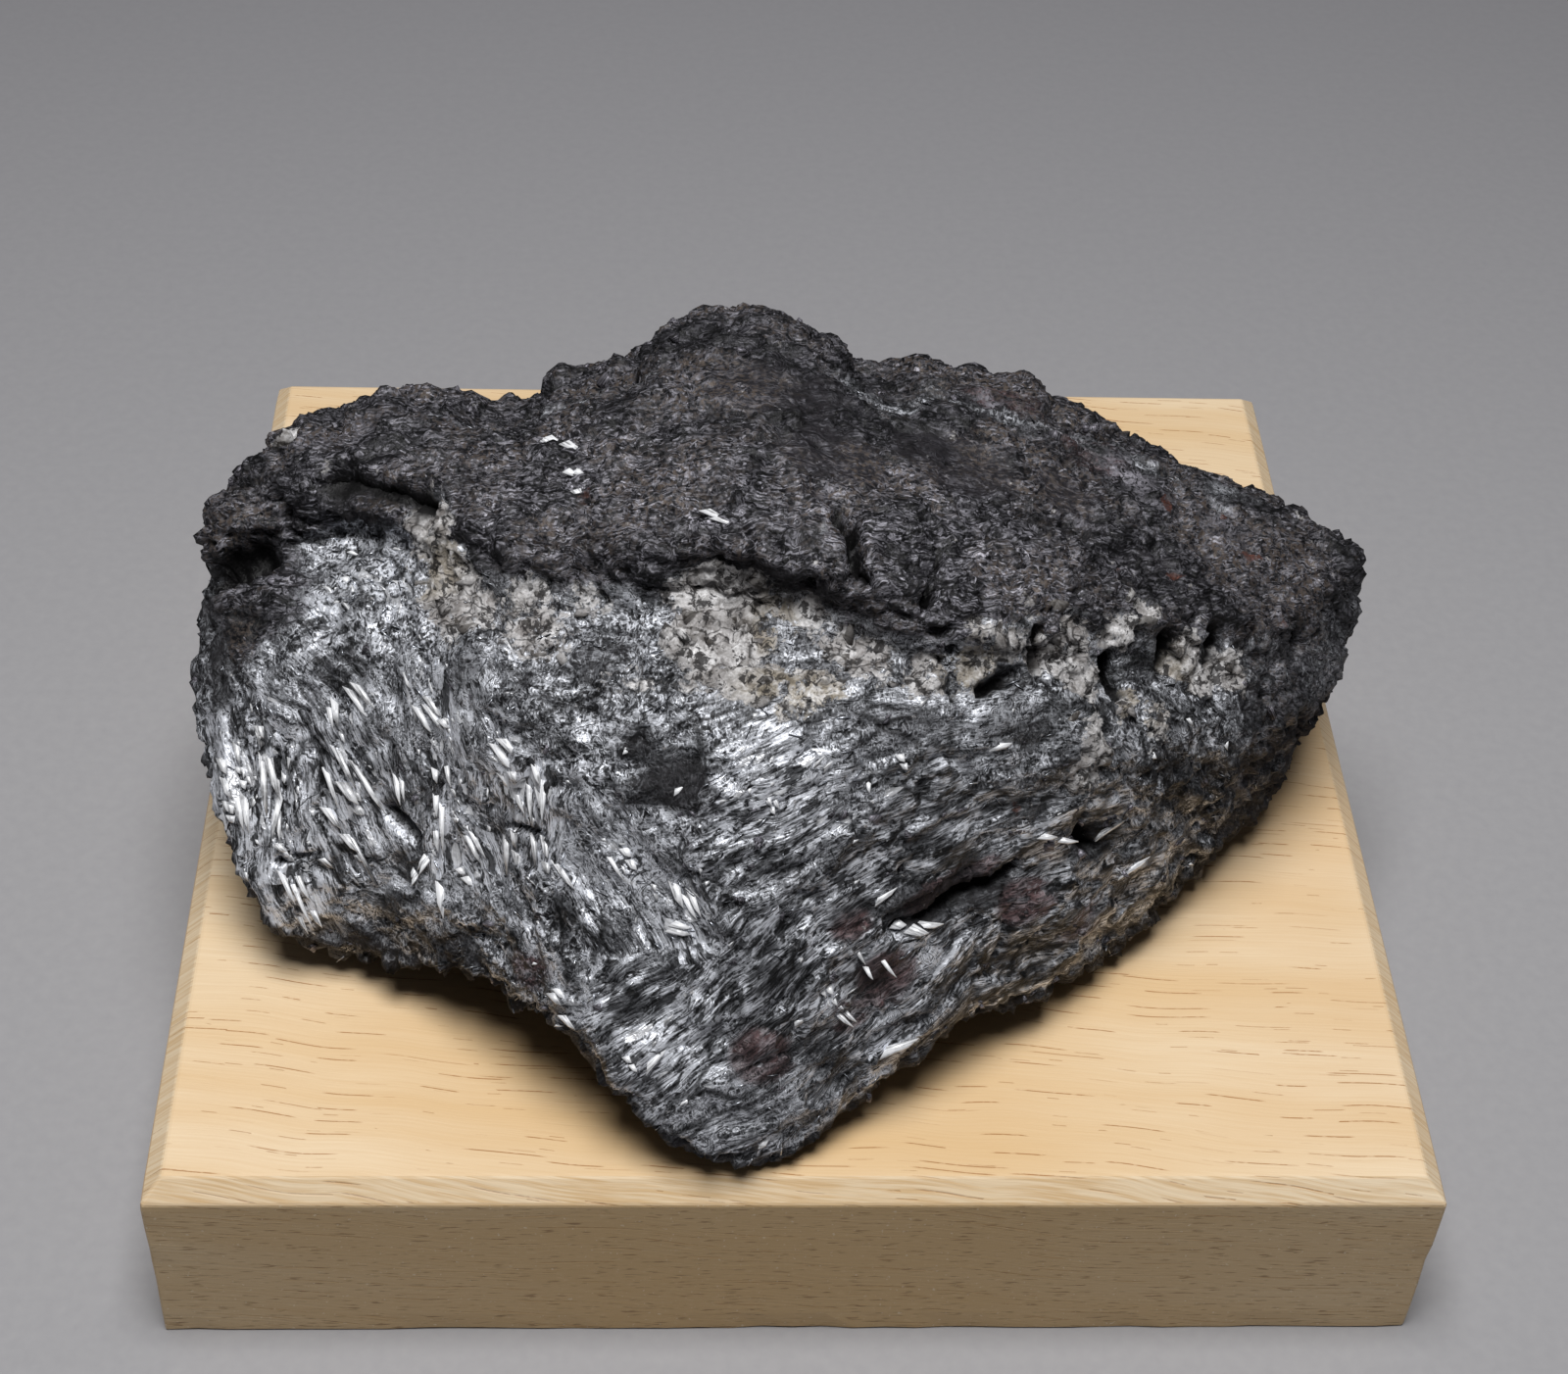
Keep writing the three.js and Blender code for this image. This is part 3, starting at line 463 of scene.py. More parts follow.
def sculptBody(mesh):
    places, normals = readVectors(mesh.vertices, "co"), readVectors(mesh.vertex_normals, "vector")
    points = places / mm
    chosen, shine, order = nearBundles(points)
    strength = {kind: patchStrength(points, rows) for kind, rows in patches.items()}
    shine = shine + 0.8 * strength["glow"] - 0.8 * strength["shade"]
    frames = bundleFrames(points, normals)
    fibre = np.einsum("nj,nij->ni", points - bundlePlaces[chosen], frames[chosen])

    slab = onSlab(points)
    hidden = smoothStep(normals[:, 1] - 0.5 * normals[:, 2], 0.2, 0.7)
    ragged = sample(points * 0.45, lambda p: noise.fractal(p, 0.9, 2.0, 4))
    torn = ragged + 0.5 * sample(points * 1.3, noise.noise)
    vein = smoothStep(strength["vein"] + 0.4 * torn, 0.38, 0.62)
    slaty = smoothStep(strength["slaty"] + 0.3 * torn, 0.3, 0.7)
    slab = slab * (1 - vein)
    fibrous = (1 - slab) * (1 - vein)

    # the low steps, streaks and pits of the upper slab
    level, border = cellSteps(points / (6.0, 2.0, 1.8), 1)
    small, _ = cellSteps(points / (2.2, 0.8, 0.8), 2)
    run = points[:, 1] / 3.2 + points[:, 0] / 40 + 1.1 * sample(points * (0.06, 0.16, 0.16), noise.noise)
    terrace = smoothStep(run - np.floor(run), 0, 0.75)
    pits = smoothStep(sample(points * (0.5, 0.8, 0.8) + 5, noise.noise), 0.32, 0.5)
    streaks = sample(points * (0.35, 1.6, 1.6), lambda p: noise.fractal(p, 0.8, 2.1, 3))
    blocks = 0.45 * level + 0.2 * small + 0.35 * streaks - 0.25 * (1 - smoothStep(border, 0, 0.1))
    height = slab * (1 - 0.75 * slaty) * (blocks + 0.5 * terrace - 0.6 * pits)

    # bundles and single laths that stand at different heights on the fibrous break
    level, border = cellSteps(fibre / (2.4, 8, 3), 3)
    lath, _ = cellSteps(fibre / (0.95, 5, 2), 4)
    wavy = sample(fibre / (2.2, 12, 5), lambda p: noise.fractal(p, 0.8, 2.1, 3))
    grains, _ = cellSteps(points / (1.3, 1.1, 1.1), 8)
    laths = 0.3 * level + 0.06 * lath + 0.2 * wavy - 0.2 * (1 - smoothStep(border, 0, 0.1))
    crumbs = 0.3 * level + 0.2 * grains + 0.2 * torn - 0.2 * (1 - smoothStep(border, 0, 0.12))
    inLine = smoothStep(order, 0.3, 0.6)
    height += fibrous * (1 - 0.8 * slaty) * (inLine * laths + (1 - inLine) * crumbs)
    # the lower rim is knobbly
    height += fibrous * smoothStep(-normals[:, 2], -0.15, 0.2) * (0.5 * torn + 0.35 * grains)

    # cleavage blocks of the vein
    level, border = cellSteps(points / (2.4, 1.9, 1.7), 5)
    small, _ = cellSteps(points / (1.1, 0.9, 0.8), 6)
    height += vein * (0.5 * level + 0.35 * small - 0.5 * (1 - smoothStep(border, 0, 0.1)))

    # the coarse break of the back
    level, border = cellSteps(points / (7, 5, 5), 7)
    height += hidden * (0.7 * level + 0.5 * sample(points * 0.25, lambda p: noise.fractal(p, 0.7, 2.2, 5)))
    height += 0.3 * sample(points * 0.3, lambda p: noise.fractal(p, 0.8, 2.1, 5))
    # the lowest places of the relief, which the material paints dark as painted shade
    hollow = smoothStep(-height, 0.3, 1.0)

    for *middle, radius, tall in lumps:
        apart = np.linalg.norm(points - middle, axis=1) / radius
        height += tall * (1 - smoothStep(apart, 0.3, 1.1))
    wander = 0.5 * sample(points * 0.8, noise.noise)
    depth = np.zeros(len(points))
    for *ends, halfWidth, deep in openings:
        apart = fromSegment(points, ends[:3], ends[3:]) + wander * min(1, halfWidth)
        depth = np.maximum(depth, deep * (1 - smoothStep(apart, halfWidth * 0.5, halfWidth * 1.5)))
    height -= depth

    places = places + normals * height[:, None] * mm
    places[:, 2] = np.maximum(places[:, 2], woodTop + body["airUnder"])
    mesh.vertices.foreach_set("co", places.astype(np.float32).ravel())
    mesh.update()
    mesh.shade_smooth()

    # fibre coordinates belong to face corners, so that neighbouring bundles meet at a clean edge
    corners, totals = np.empty(len(mesh.loops), np.int32), np.empty(len(mesh.polygons), np.int32)
    mesh.loops.foreach_get("vertex_index", corners)
    mesh.polygons.foreach_get("loop_total", totals)
    firsts = np.concatenate([[0], np.cumsum(totals)[:-1]])
    faceBundle = chosen[corners[firsts]]
    ofCorner = np.repeat(faceBundle, totals)
    cornerFibre = np.einsum("nj,nij->ni", places[corners] / mm - bundlePlaces[ofCorner], frames[ofCorner])
    storeAttribute(mesh, "fibre", cornerFibre + ofCorner[:, None] * 17.3, "CORNER")
    # faces that look down are painted dark with the sooty patches: painted shade
    strength["soot"] = np.maximum(strength["soot"], 1.4 * smoothStep(-normals[:, 2], -0.1, 0.35))
    strength.update(shine=shine, order=order, slab=slab, slaty=slaty, sunken=depth, hollow=hollow)
    for name in ("shine", "order", "vein", "slab", "slaty", "sunken", "hollow", "soot", "ochre", "brown",
                 "dust", "cinnabar"):
        storeAttribute(mesh, name, strength[name])
    # what the scattered pieces need to know about each face
    first = corners[firsts]
    area = np.empty(len(mesh.polygons), np.float32)
    mesh.polygons.foreach_get("area", area)
    facts = {name: strength[name][first]
             for name in ("shine", "order", "slab", "slaty", "sunken", "soot", "brown")}
    facts.update(vein=vein[first], area=area.astype(float) * 1e6, way=frames[faceBundle][:, 1],
                 middle=readVectors(mesh.polygons, "center") / mm,
                 normal=readVectors(mesh.polygons, "normal"))
    return facts


def painted(add, colour, *coats):
    # each coat of a colour goes over the last, as far as the product of its factors lets it
    for factor, *others, code in coats:
        for other in others:
            factor = add("Math MULTIPLY", factor, other)
        colour = add("Mix RGBA", factor, colour, srgb(code))
    return colour


def cells(add, vector, size):
    # scattered cells of the size given in mm, and their random channels
    scaled = add("VectorMath MULTIPLY", vector, [1 / s for s in size])
    node = add("TexVoronoi", scaled, 1.0)
    return node, add("SeparateColor", node.outputs["Color"]).outputs


def joints(add, vector, size):
    # how far the nearest joint between such cells is
    scaled = add("VectorMath MULTIPLY", vector, [1 / s for s in size])
    return add("TexVoronoi", scaled, 1.0, feature="DISTANCE_TO_EDGE")


def needles(add, vector, size, thin):
    # fine curly lines, where a noise of the size given in mm passes through its middle value
    scaled = add("VectorMath MULTIPLY", vector, [1 / s for s in size])
    fromMiddle = add("Math SUBTRACT", add("TexNoise", scaled, 1.0, 1.5), 0.5)
    return add("MapRange", add("Math ABSOLUTE", fromMiddle), 0, thin, 1.0, 0.0)


def turnedPatches(add, vector, size, spread):
    # patches of the size given in mm, each with its fibres turned its own way and with its own tone
    node, channels = cells(add, vector, size)
    middle = add("VectorMath MULTIPLY", node.outputs["Position"], size)
    local = add("VectorMath SUBTRACT", vector, middle)
    angle = add("MapRange", channels[0], 0, 1, -spread, spread)
    turned = add("VectorRotate", rotation_type="Z_AXIS", inputs={"Vector": local, "Angle": angle})
    return add("VectorMath MULTIPLY_ADD", node.outputs["Color"], (90, 90, 90), turned), channels[1]


def leanOf(add, node, amount):
    # each cell's own tilt
    centred = add("VectorMath SUBTRACT", node.outputs["Color"], (0.5, 0.5, 0.5))
    return add("VectorMath MULTIPLY", centred, (amount, amount, amount))


def tilted(add, tilt):
    leant = add("VectorMath ADD", tilt, add("NewGeometry").outputs["Normal"])
    return add("VectorMath NORMALIZE", leant)


def finish(add, colour, metallic, roughness, normal):
    shader = add("BsdfPrincipled",
                 inputs={"Base Color": colour, "Metallic": metallic, "Roughness": roughness,
                         "Specular IOR Level": 0.3, "Normal": normal})
    add("OutputMaterial", shader)


def veinColour(add, place):
    # cleaved calcite: cream to grey, mottled by the dark ore, with a few cracks and dirt along its grains
    swirl = add("VectorMath MULTIPLY_ADD", add("TexNoise", place, 0.5, 3.0).outputs["Color"],
                (1.6, 1.6, 1.6), place)
    mottle = add("TexNoise", place, 1.0, 6.0, 0.72)
    islands = add("TexNoise", swirl, 0.8, 5.0, 0.7)
    stain = add("TexNoise", place, 0.25, 4.0)
    _, crumbRandom = cells(add, swirl, (1.7, 1.1, 1.0))
    grains, grainRandom = cells(add, place, (0.2, 0.2, 0.2))
    pale = painted(add, srgb("e6e5e6"),
                   (add("MapRange", add("Math MULTIPLY_ADD", crumbRandom[0], 0.35, stain), 0.35, 0.95),
                    "959190"),
                   (add("Attribute", attribute_name="ochre").outputs["Fac"],
                    add("MapRange", mottle, 0.35, 0.6), "9c9078"),
                   (add("MapRange", mottle, 0.45, 0.62, 0.0, 0.65), "585350"),
                   (add("MapRange", grainRandom[1], 0.3, 1.0, 0.0, 0.4), "57514a"))
    joint = add("MapRange", joints(add, swirl, (3.0, 1.8, 1.6)), 0.015, 0.05, 1.0, 0.0)
    pale = painted(add, pale,
                   (add("MapRange", islands, 0.53, 0.57, 0.0, 0.9), "1d1a1a"),
                   (joint, add("MapRange", stain, 0.42, 0.55), 0.8, "191513"))
    return pale, grains


def livingstoniteMaterial():
    # Livingstonite broken along its fibres: a steel-grey metallic mineral, dull and sooty where it
    # has weathered, which breaks the light into sparks where its fibres are newly broken. Part of its
    # sheen and sparks is painted into its colour as painted sheen, and its undersides and hollows are
    # painted dark as painted shade.
    material, add = newMaterial("livingstonite_broken_fibrous")
    fibre = add("Attribute", attribute_name="fibre").outputs["Vector"]
    inMillimetres = placeInMillimetres(add)
    read = "shine order vein slab slaty dust brown soot hollow cinnabar sunken".split()
    kept = {name: add("Attribute", attribute_name=name).outputs["Fac"] for name in read}
    shine, order, vein, slab, slaty = (kept[name] for name in read[:5])
    mottle = add("TexNoise", inMillimetres, 0.6, 5.0, 0.65)
    broad = add("TexNoise", inMillimetres, 0.13, 3.0)
    speck = add("TexNoise", inMillimetres, 2.2, 3.0, 0.6)

    # fibres wander a little within a bundle
    bent = add("VectorMath MULTIPLY_ADD", add("TexNoise", inMillimetres, 0.13, 2.0).outputs["Color"],
               (2.4, 2.4, 2.4), fibre)
    inPatch, patchTone = turnedPatches(add, bent, (2.2, 6.0, 3.0), 0.28)
    # in line: laths 0.24 mm wide and 2.8 mm long, with rays 0.1 mm wide
    plates, plateRandom = cells(add, inPatch, (0.8, 2.4, 1.4))
    laths, lathRandom = cells(add, inPatch, (0.24, 2.8, 0.4))
    rays, rayRandom = cells(add, inPatch, (0.1, 1.3, 0.25))
    # out of line: a felt of curly needles 0.12 mm thick
    curl = add("VectorMath MULTIPLY_ADD", add("TexNoise", inMillimetres, 0.9, 2.0).outputs["Color"],
               (1.1, 1.1, 1.1), inMillimetres)
    grains, grainRandom = cells(add, inMillimetres, (0.2, 0.2, 0.2))
    worms, wormRandom = cells(add, curl, (0.14, 0.5, 0.2))
    hairs = needles(add, bent, (0.3, 3.2, 0.6), 0.09)
    felt = needles(add, curl, (0.5, 0.9, 0.5), 0.09)
    inLine = add("MapRange", add("Math MULTIPLY_ADD", patchTone, 0.5, order), 0.5, 1.0, 0.1, 0.75)

    # bundles differ: some are painted bright, a painted sheen, and some are dull
    toned = add("Math MULTIPLY_ADD", patchTone, 0.5, shine)
    streaky = add("TexNoise", add("VectorMath MULTIPLY", bent, (0.9, 0.16, 0.5)), 1.0, 4.0, 0.6)
    toned = add("Math ADD", add("MapRange", streaky, 0.36, 0.64, 0.0, 0.9), toned)
    freshAndSheen = add("MapRange", toned, 0.55, 1.8)

    # every lath leans its own way, and a few broad plates face up and forwards; these plates are
    # also painted near white, a painted highlight
    inLineLean = add("VectorMath ADD", leanOf(add, laths, 0.35), leanOf(add, rays, 0.3))
    fibreLean = add("Mix VECTOR", inLine, leanOf(add, grains, 0.5), inLineLean)
    isPlate = add("MapRange", add("Math MULTIPLY_ADD", shine, 0.3, plateRandom[0]), 1.16, 1.18)
    isPlate = add("Math MULTIPLY", isPlate,
                  add("MapRange", plates.outputs["Distance"], 0.52, 0.56, 1.0, 0.0))
    isPlate = add("Math MULTIPLY", isPlate, inLine)
    plateLean = add("VectorMath ADD", leanOf(add, rays, 0.16), (-0.02, -0.3, 0.55))
    fibreLean = add("Mix VECTOR", isPlate, fibreLean, plateLean)
    flakeLean = leanOf(add, grains, 0.4)
    lean = add("Mix VECTOR", slab, fibreLean, flakeLean)
    calm = add("MapRange", slaty, 0, 1, 1.0, 0.35)
    lean = add("VectorMath SCALE", lean, calm)
    facet = tilted(add, lean)
    depths = add("Math ADD", add("Math MULTIPLY", inLine, rays.outputs["Distance"]),
                 add("Math SUBTRACT", 1.0, felt))
    normal = add("Bump", invert=True,
                 inputs={"Height": depths, "Distance": 0.05 * mm, "Strength": 0.4, "Normal": facet})

    # the tone differs from needle to needle, with black gaps between them
    curly = add("Math MULTIPLY", add("Math POWER", wormRandom[0], 1.8),
                add("MapRange", worms.outputs["Distance"], 0.3, 0.55, 1.0, 0.15))
    curly = add("Math MAXIMUM", curly,
                add("Math MULTIPLY", felt, add("MapRange", mottle, 0.35, 0.6, 0.15, 1.0)))
    straight = add("Math MULTIPLY", add("Math POWER", rayRandom[2], 2.6),
                   add("MapRange", lathRandom[2], 0.1, 0.9, 0.15, 1.0))
    straight = add("Math MAXIMUM", straight,
                   add("Math MULTIPLY", hairs, add("MapRange", mottle, 0.35, 0.6, 0.3, 1.2)))
    each = add("Mix", inLine, curly, straight)
    # painted sheen: the needles are painted brighter on the bundles that shine
    metal = painted(add, srgb("202023"), (each, add("MapRange", freshAndSheen, 0, 1, 0.25, 3.0), "ebeef6"))
    torn = add("TexNoise", add("Mix VECTOR", inLine, add("VectorMath MULTIPLY", curl, (2.0, 2.0, 2.0)),
                               add("VectorMath MULTIPLY", bent, (1.8, 0.35, 1.0))), 1.0, 4.0, 0.6)
    gap = add("MapRange", torn.outputs["Fac"], 0.42, 0.49, 0.12, 1.0)
    seam = add("Math MULTIPLY", add("MapRange", joints(add, bent, (2.2, 6.0, 3.0)), 0.03, 0.11, 1.0, 0.0),
               add("MapRange", broad, 0.4, 0.6, 0.3, 1.0))
    gap = add("Math MULTIPLY", gap, add("Math SUBTRACT", 1.0, add("Math MULTIPLY", seam, 0.8)))
    metal = add("Mix RGBA", gap, srgb("0a0a0b"), metal)
    # painted highlight: the broad plates are painted near white
    metal = painted(add, metal, (isPlate, 0.9, "f6f7fb"))

    # the slab is slate grey, streaked level with paler curls, and brown-grey where it is smooth
    swayed = add("VectorMath MULTIPLY_ADD", add("TexNoise", inMillimetres, 0.35, 3.0).outputs["Color"],
                 (2.0, 2.6, 2.6), inMillimetres)
    flakes, flakeRandom = cells(add, swayed, (1.3, 0.19, 0.19))
    flakeLines = needles(add, swayed, (2.4, 0.5, 0.5), 0.07)
    curls = add("Math MULTIPLY", add("Math POWER", flakeRandom[0], 3.0),
                add("MapRange", flakes.outputs["Distance"], 0.3, 0.55, 1.0, 0.2))
    curls = add("Math MAXIMUM", curls,
                add("Math MULTIPLY", flakeLines, add("MapRange", mottle, 0.4, 0.65, 0.05, 0.9)))
    # painted sheen: the curls of the slab are painted brighter where the slab shines
    flakeTone = add("Math MULTIPLY", curls,
                    add("Math MULTIPLY_ADD", shine, 1.2, add("MapRange", broad, 0.35, 0.65, 0.1, 0.7)))
    dull = painted(add, srgb("0f0f11"),
                   (add("MapRange", mottle, 0.3, 0.7), "201f23"),
                   (flakeTone, "b9b7c1"),
                   (add("MapRange", speck, 0.44, 0.37, 0.0, 0.85), "09090a"))
    layered = add("Math MULTIPLY",
                  add("MapRange", joints(add, swayed, (7.0, 1.5, 1.3)), 0.02, 0.07, 1.0, 0.0),
                  add("MapRange", broad, 0.6, 0.45))
    dull = painted(add, dull, (layered, 0.9, "060607"))
    smooth = painted(add, srgb("242225"), (grainRandom[0], "353236"))
    dull = add("Mix RGBA", add("Math MULTIPLY", slaty, add("MapRange", speck, 0.6, 0.5, 0.0, 0.6)), dull,
               smooth)
    dust = add("Math MULTIPLY", kept["dust"], add("MapRange", mottle, 0.38, 0.58))
    dull = painted(add, dull,
                   (dust, add("MapRange", grainRandom[1], 0.1, 0.7), "a5a2ab"),
                   (add("MapRange", broad, 0.46, 0.62), add("MapRange", speck, 0.48, 0.62), "544b45"))
    metal = add("Mix RGBA", slab, metal, dull)

    # stains: purple-brown in the folds and cinnabar red in streaks; sooty patches mixed with painted shade
    # on the faces that look down; painted shade in the hollows
    brown = add("MapRange", add("Math MULTIPLY", kept["brown"],
                                add("MapRange", streaky, 0.38, 0.6, 0.35, 1.3)), 0.2, 0.6)
    metal = add("Mix RGBA", add("Math MULTIPLY", brown, 0.8), metal,
                add("Mix RGBA", each, srgb("1b1415"), srgb("6e5354")))
    # sooty patches and painted shade: the dark patches and the undersides are painted grey-black
    soot = add("MapRange", add("Math MULTIPLY_ADD", mottle, 0.8, kept["soot"]), 0.6, 1.3)
    metal = add("Mix RGBA", add("Math MULTIPLY", soot, 0.85), metal,
                add("Mix RGBA", grainRandom[1], srgb("100f11"), srgb("29272a")))
    # painted shade: the lowest places of the relief are painted near black
    metal = painted(add, metal, (add("MapRange", kept["hollow"], 0, 1, 0.0, 0.8), "0e0d0f"))

    # pale vein, torn into islands along its edge
    veinEdge = add("Math MULTIPLY_ADD", speck, 1.0, add("Math MULTIPLY_ADD", mottle, 2.2, vein))
    isVein = add("MapRange", veinEdge, 2.0, 2.2)
    pale, _ = veinColour(add, inMillimetres)
    colour = add("Mix RGBA", isVein, metal, pale)
    red = add("MapRange", add("Math MULTIPLY_ADD", speck, 1.4, kept["cinnabar"]), 1.15, 1.5)
    colour = add("Mix RGBA", add("Math MULTIPLY", red, add("MapRange", curls, 0.0, 0.3, 0.45, 0.9)), colour,
                 add("Mix RGBA", grainRandom[0], srgb("38211b"), srgb("663a2c")))
    # painted shade: cracks, pits and hollows are painted darker the deeper they are cut
    colour = painted(add, colour, (add("MapRange", kept["sunken"], 0.25, 1.4), "0d0c0d"))

    metallic = add("Math MULTIPLY", add("MapRange", isVein, 0, 1, 0.4, 0.0),
                   add("MapRange", slab, 0, 1, 1.0, 0.6))
    metallic = add("Math MAXIMUM", metallic, add("Math MULTIPLY", isPlate, 0.5))
    metallic = add("Math MULTIPLY", metallic,
                   add("MapRange", add("Math MAXIMUM", add("Math MAXIMUM", brown, red), soot), 0, 1, 1.0,
                       0.15))
    rough = add("Mix", isPlate, add("MapRange", freshAndSheen, 0, 1, 0.55, 0.45), 0.24)
    rough = add("Math ADD", rough, add("MapRange", isVein, 0, 1, 0.0, 0.3))
    rough = add("Math ADD", rough, add("MapRange", slab, 0, 1, 0.0, 0.06))
    rough = add("Math ADD", rough, add("MapRange", soot, 0, 1, 0.0, 0.35))
    finish(add, colour, metallic, rough, normal)
    return material


stoneMesh = makeBodyMesh()
correctShape(stoneMesh)
skin = sculptBody(stoneMesh)
stoneBody = newObject("stone_body", stoneMesh, livingstoniteMaterial())
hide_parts("livingstonite_stone")
stoneTree = BVHTree.FromPolygons([v.co / mm for v in stoneMesh.vertices],
                                 [p.vertices[:] for p in stoneMesh.polygons])
print("stone body:", len(stoneMesh.vertices), "vertices,",
      sum(len(p.vertices) - 2 for p in stoneMesh.polygons), "triangles")


def facing(points):
    # for each point the way to the viewer, and the normal that throws the softbox back to the viewer
    toView = unit(np.array(bpy.context.scene.camera.location) / mm - points)
    toLight = unit(np.array(studio["softboxPlace"]) / mm - points)
    return toView, unit(toView + toLight)


def lathShape():
    # a flat lath 1 long along y, broken off askew and narrower at its far end
    bm = bmesh.new()
    bmesh.ops.create_cube(bm, size=1)
    far = [v for v in bm.verts if v.co.y > 0]
    bmesh.ops.scale(bm, vec=(0.5, 1, 0.8), verts=far)
    bmesh.ops.translate(bm, vec=(0.0, -0.3, 0.0), verts=[v for v in far if v.co.x > 0])
    bmesh.ops.translate(bm, vec=(0.0, 0.25, 0.0),
                        verts=[v for v in bm.verts if v.co.y < 0 and v.co.x < 0 and v not in far])
    return bm


def fibreShape():
    # a three-sided needle 1 long along y
    bm = bmesh.new()
    bmesh.ops.create_cone(bm, cap_ends=True, segments=3, radius1=0.55, radius2=0.35, depth=1)
    bmesh.ops.rotate(bm, matrix=Matrix.Rotation(math.radians(90), 3, "X"), verts=bm.verts)
    return bm


def crumbShape(seed):
    # an angular crumb: the hull of a few points scattered over a flattened box
    rng = np.random.default_rng(seed)
    bm = bmesh.new()
    for _ in range(11):
        corner = rng.uniform(-0.5, 0.5, 3)
        corner[rng.integers(3)] = rng.choice((-0.5, 0.5))
        bm.verts.new(corner)
    hull = bmesh.ops.convex_hull(bm, input=bm.verts)
    bmesh.ops.delete(bm, geom=[g for g in hull["geom_interior"] if isinstance(g, bmesh.types.BMVert)],
                     context="VERTS")
    bmesh.ops.recalc_face_normals(bm, faces=bm.faces)
    return bm


def turned(vectors, axes, angles):
    # Rodrigues' turn of each vector about its own axis
    cos, sin = np.cos(angles)[:, None], np.sin(angles)[:, None]
    along = axes * (axes * vectors).sum(1, keepdims=True)
    return vectors * cos + np.cross(axes, vectors) * sin + along * (1 - cos)


def axesFrom(along, up):
    along = unit(along)
    across = unit(np.cross(along, up))
    return np.stack([across, along, np.cross(across, along)], 1)


def joinCopies(name, shape, middles, axes, sizes, tones, material):
    # one mesh of many copies of a small shape, each with its own place, axes and size in mm
    corners = np.array([v.co[:] for v in shape.verts])
    loops = np.array([v.index for f in shape.faces for v in f.verts])
    starts = np.cumsum([0] + [len(f.verts) for f in shape.faces][:-1])
    shape.free()
    count, each, perFace = len(middles), len(corners), len(starts)
    local = corners[None] * sizes[:, None]
    places = middles[:, None] + np.einsum("nbi,nij->nbj", local, axes)
    places[:, :, 2] = np.maximum(places[:, :, 2], woodTop / mm + body["airUnderCrumbs"])
    mesh = bpy.data.meshes.new(name)
    mesh.vertices.add(count * each)
    mesh.vertices.foreach_set("co", (places * mm).astype(np.float32).ravel())
    mesh.loops.add(count * len(loops))
    mesh.loops.foreach_set("vertex_index",
                           (loops[None] + np.arange(count)[:, None] * each).astype(np.int32).ravel())
    mesh.polygons.add(count * perFace)
    mesh.polygons.foreach_set("loop_start",
                              (starts[None] + np.arange(count)[:, None]
                               * len(loops)).astype(np.int32).ravel())
    mesh.update(calc_edges=True)
    mesh.validate()
    shift = (np.arange(count) * 7.31)[:, None, None]
    storeAttribute(mesh, "fibre", (local + shift).reshape(-1, 3))
    storeAttribute(mesh, "tone", np.repeat(tones, each))
    print(name + ":", count, "pieces,", sum(len(p.vertices) - 2 for p in mesh.polygons), "triangles")
    return newObject(name, mesh, material)


def pickFaces(rng, weight, count):
    chance = skin["area"] * np.maximum(weight, 0)
    return rng.choice(len(chance), size=count, p=chance / chance.sum())


def needleMaterial(name, dark, bright, metallic, roughness, ribs, relief):
    material, add = newMaterial(name)
    tone = add("Attribute", attribute_name="tone").outputs["Fac"]
    fibre = add("Attribute", attribute_name="fibre").outputs["Vector"]
    # ribs run along each lath, and breaks run across it
    ribbed = add("TexNoise", add("VectorMath MULTIPLY", fibre, (1 / ribs, 0.35, 1 / ribs)), 1.0, 2.0)
    mottle = add("TexNoise", placeInMillimetres(add), 1.6, 4.0, 0.6)
    toned = add("Math MULTIPLY_ADD", add("MapRange", ribbed, 0.4, 0.6, -0.4, 0.6), 0.8, tone)
    toned = add("Math MULTIPLY_ADD", add("MapRange", mottle, 0.35, 0.65, -0.5, 0.5), 0.4, toned)
    colour = add("Mix RGBA", add("MapRange", toned, 0.0, 1.0), srgb(dark), srgb(bright))
    facet = add("Bump", inputs={"Height": ribbed, "Distance": relief * mm, "Strength": 0.7})
    finish(add, colour, metallic, add("MapRange", toned, 0, 1, roughness + 0.15, roughness), facet)
    return material


# Fresh laths: bright cleavage faces of livingstonite, which flash where they face the light; their pale tones
# are painted glint as well.
freshLaths = needleMaterial("livingstonite_fresh_cleavage", "1c1c1f", "fbfcff", 0.2, 0.4, 0.16, 0.01)
# Felted needles: the same mineral in fine needles, greyer because each one is scratched and dusty.
feltedNeedles = needleMaterial("livingstonite_felted_needles", "151517", "dfe3ec", 0.85, 0.32, 0.08, 0.03)
# Weathered crumbs: slate grey and nearly matt, for the crest of the slab and the lower rim.
weatheredCrumbs = needleMaterial("livingstonite_weathered_flakes", "1b1a1c", "8f8c95", 0.5, 0.5, 0.1, 0.04)

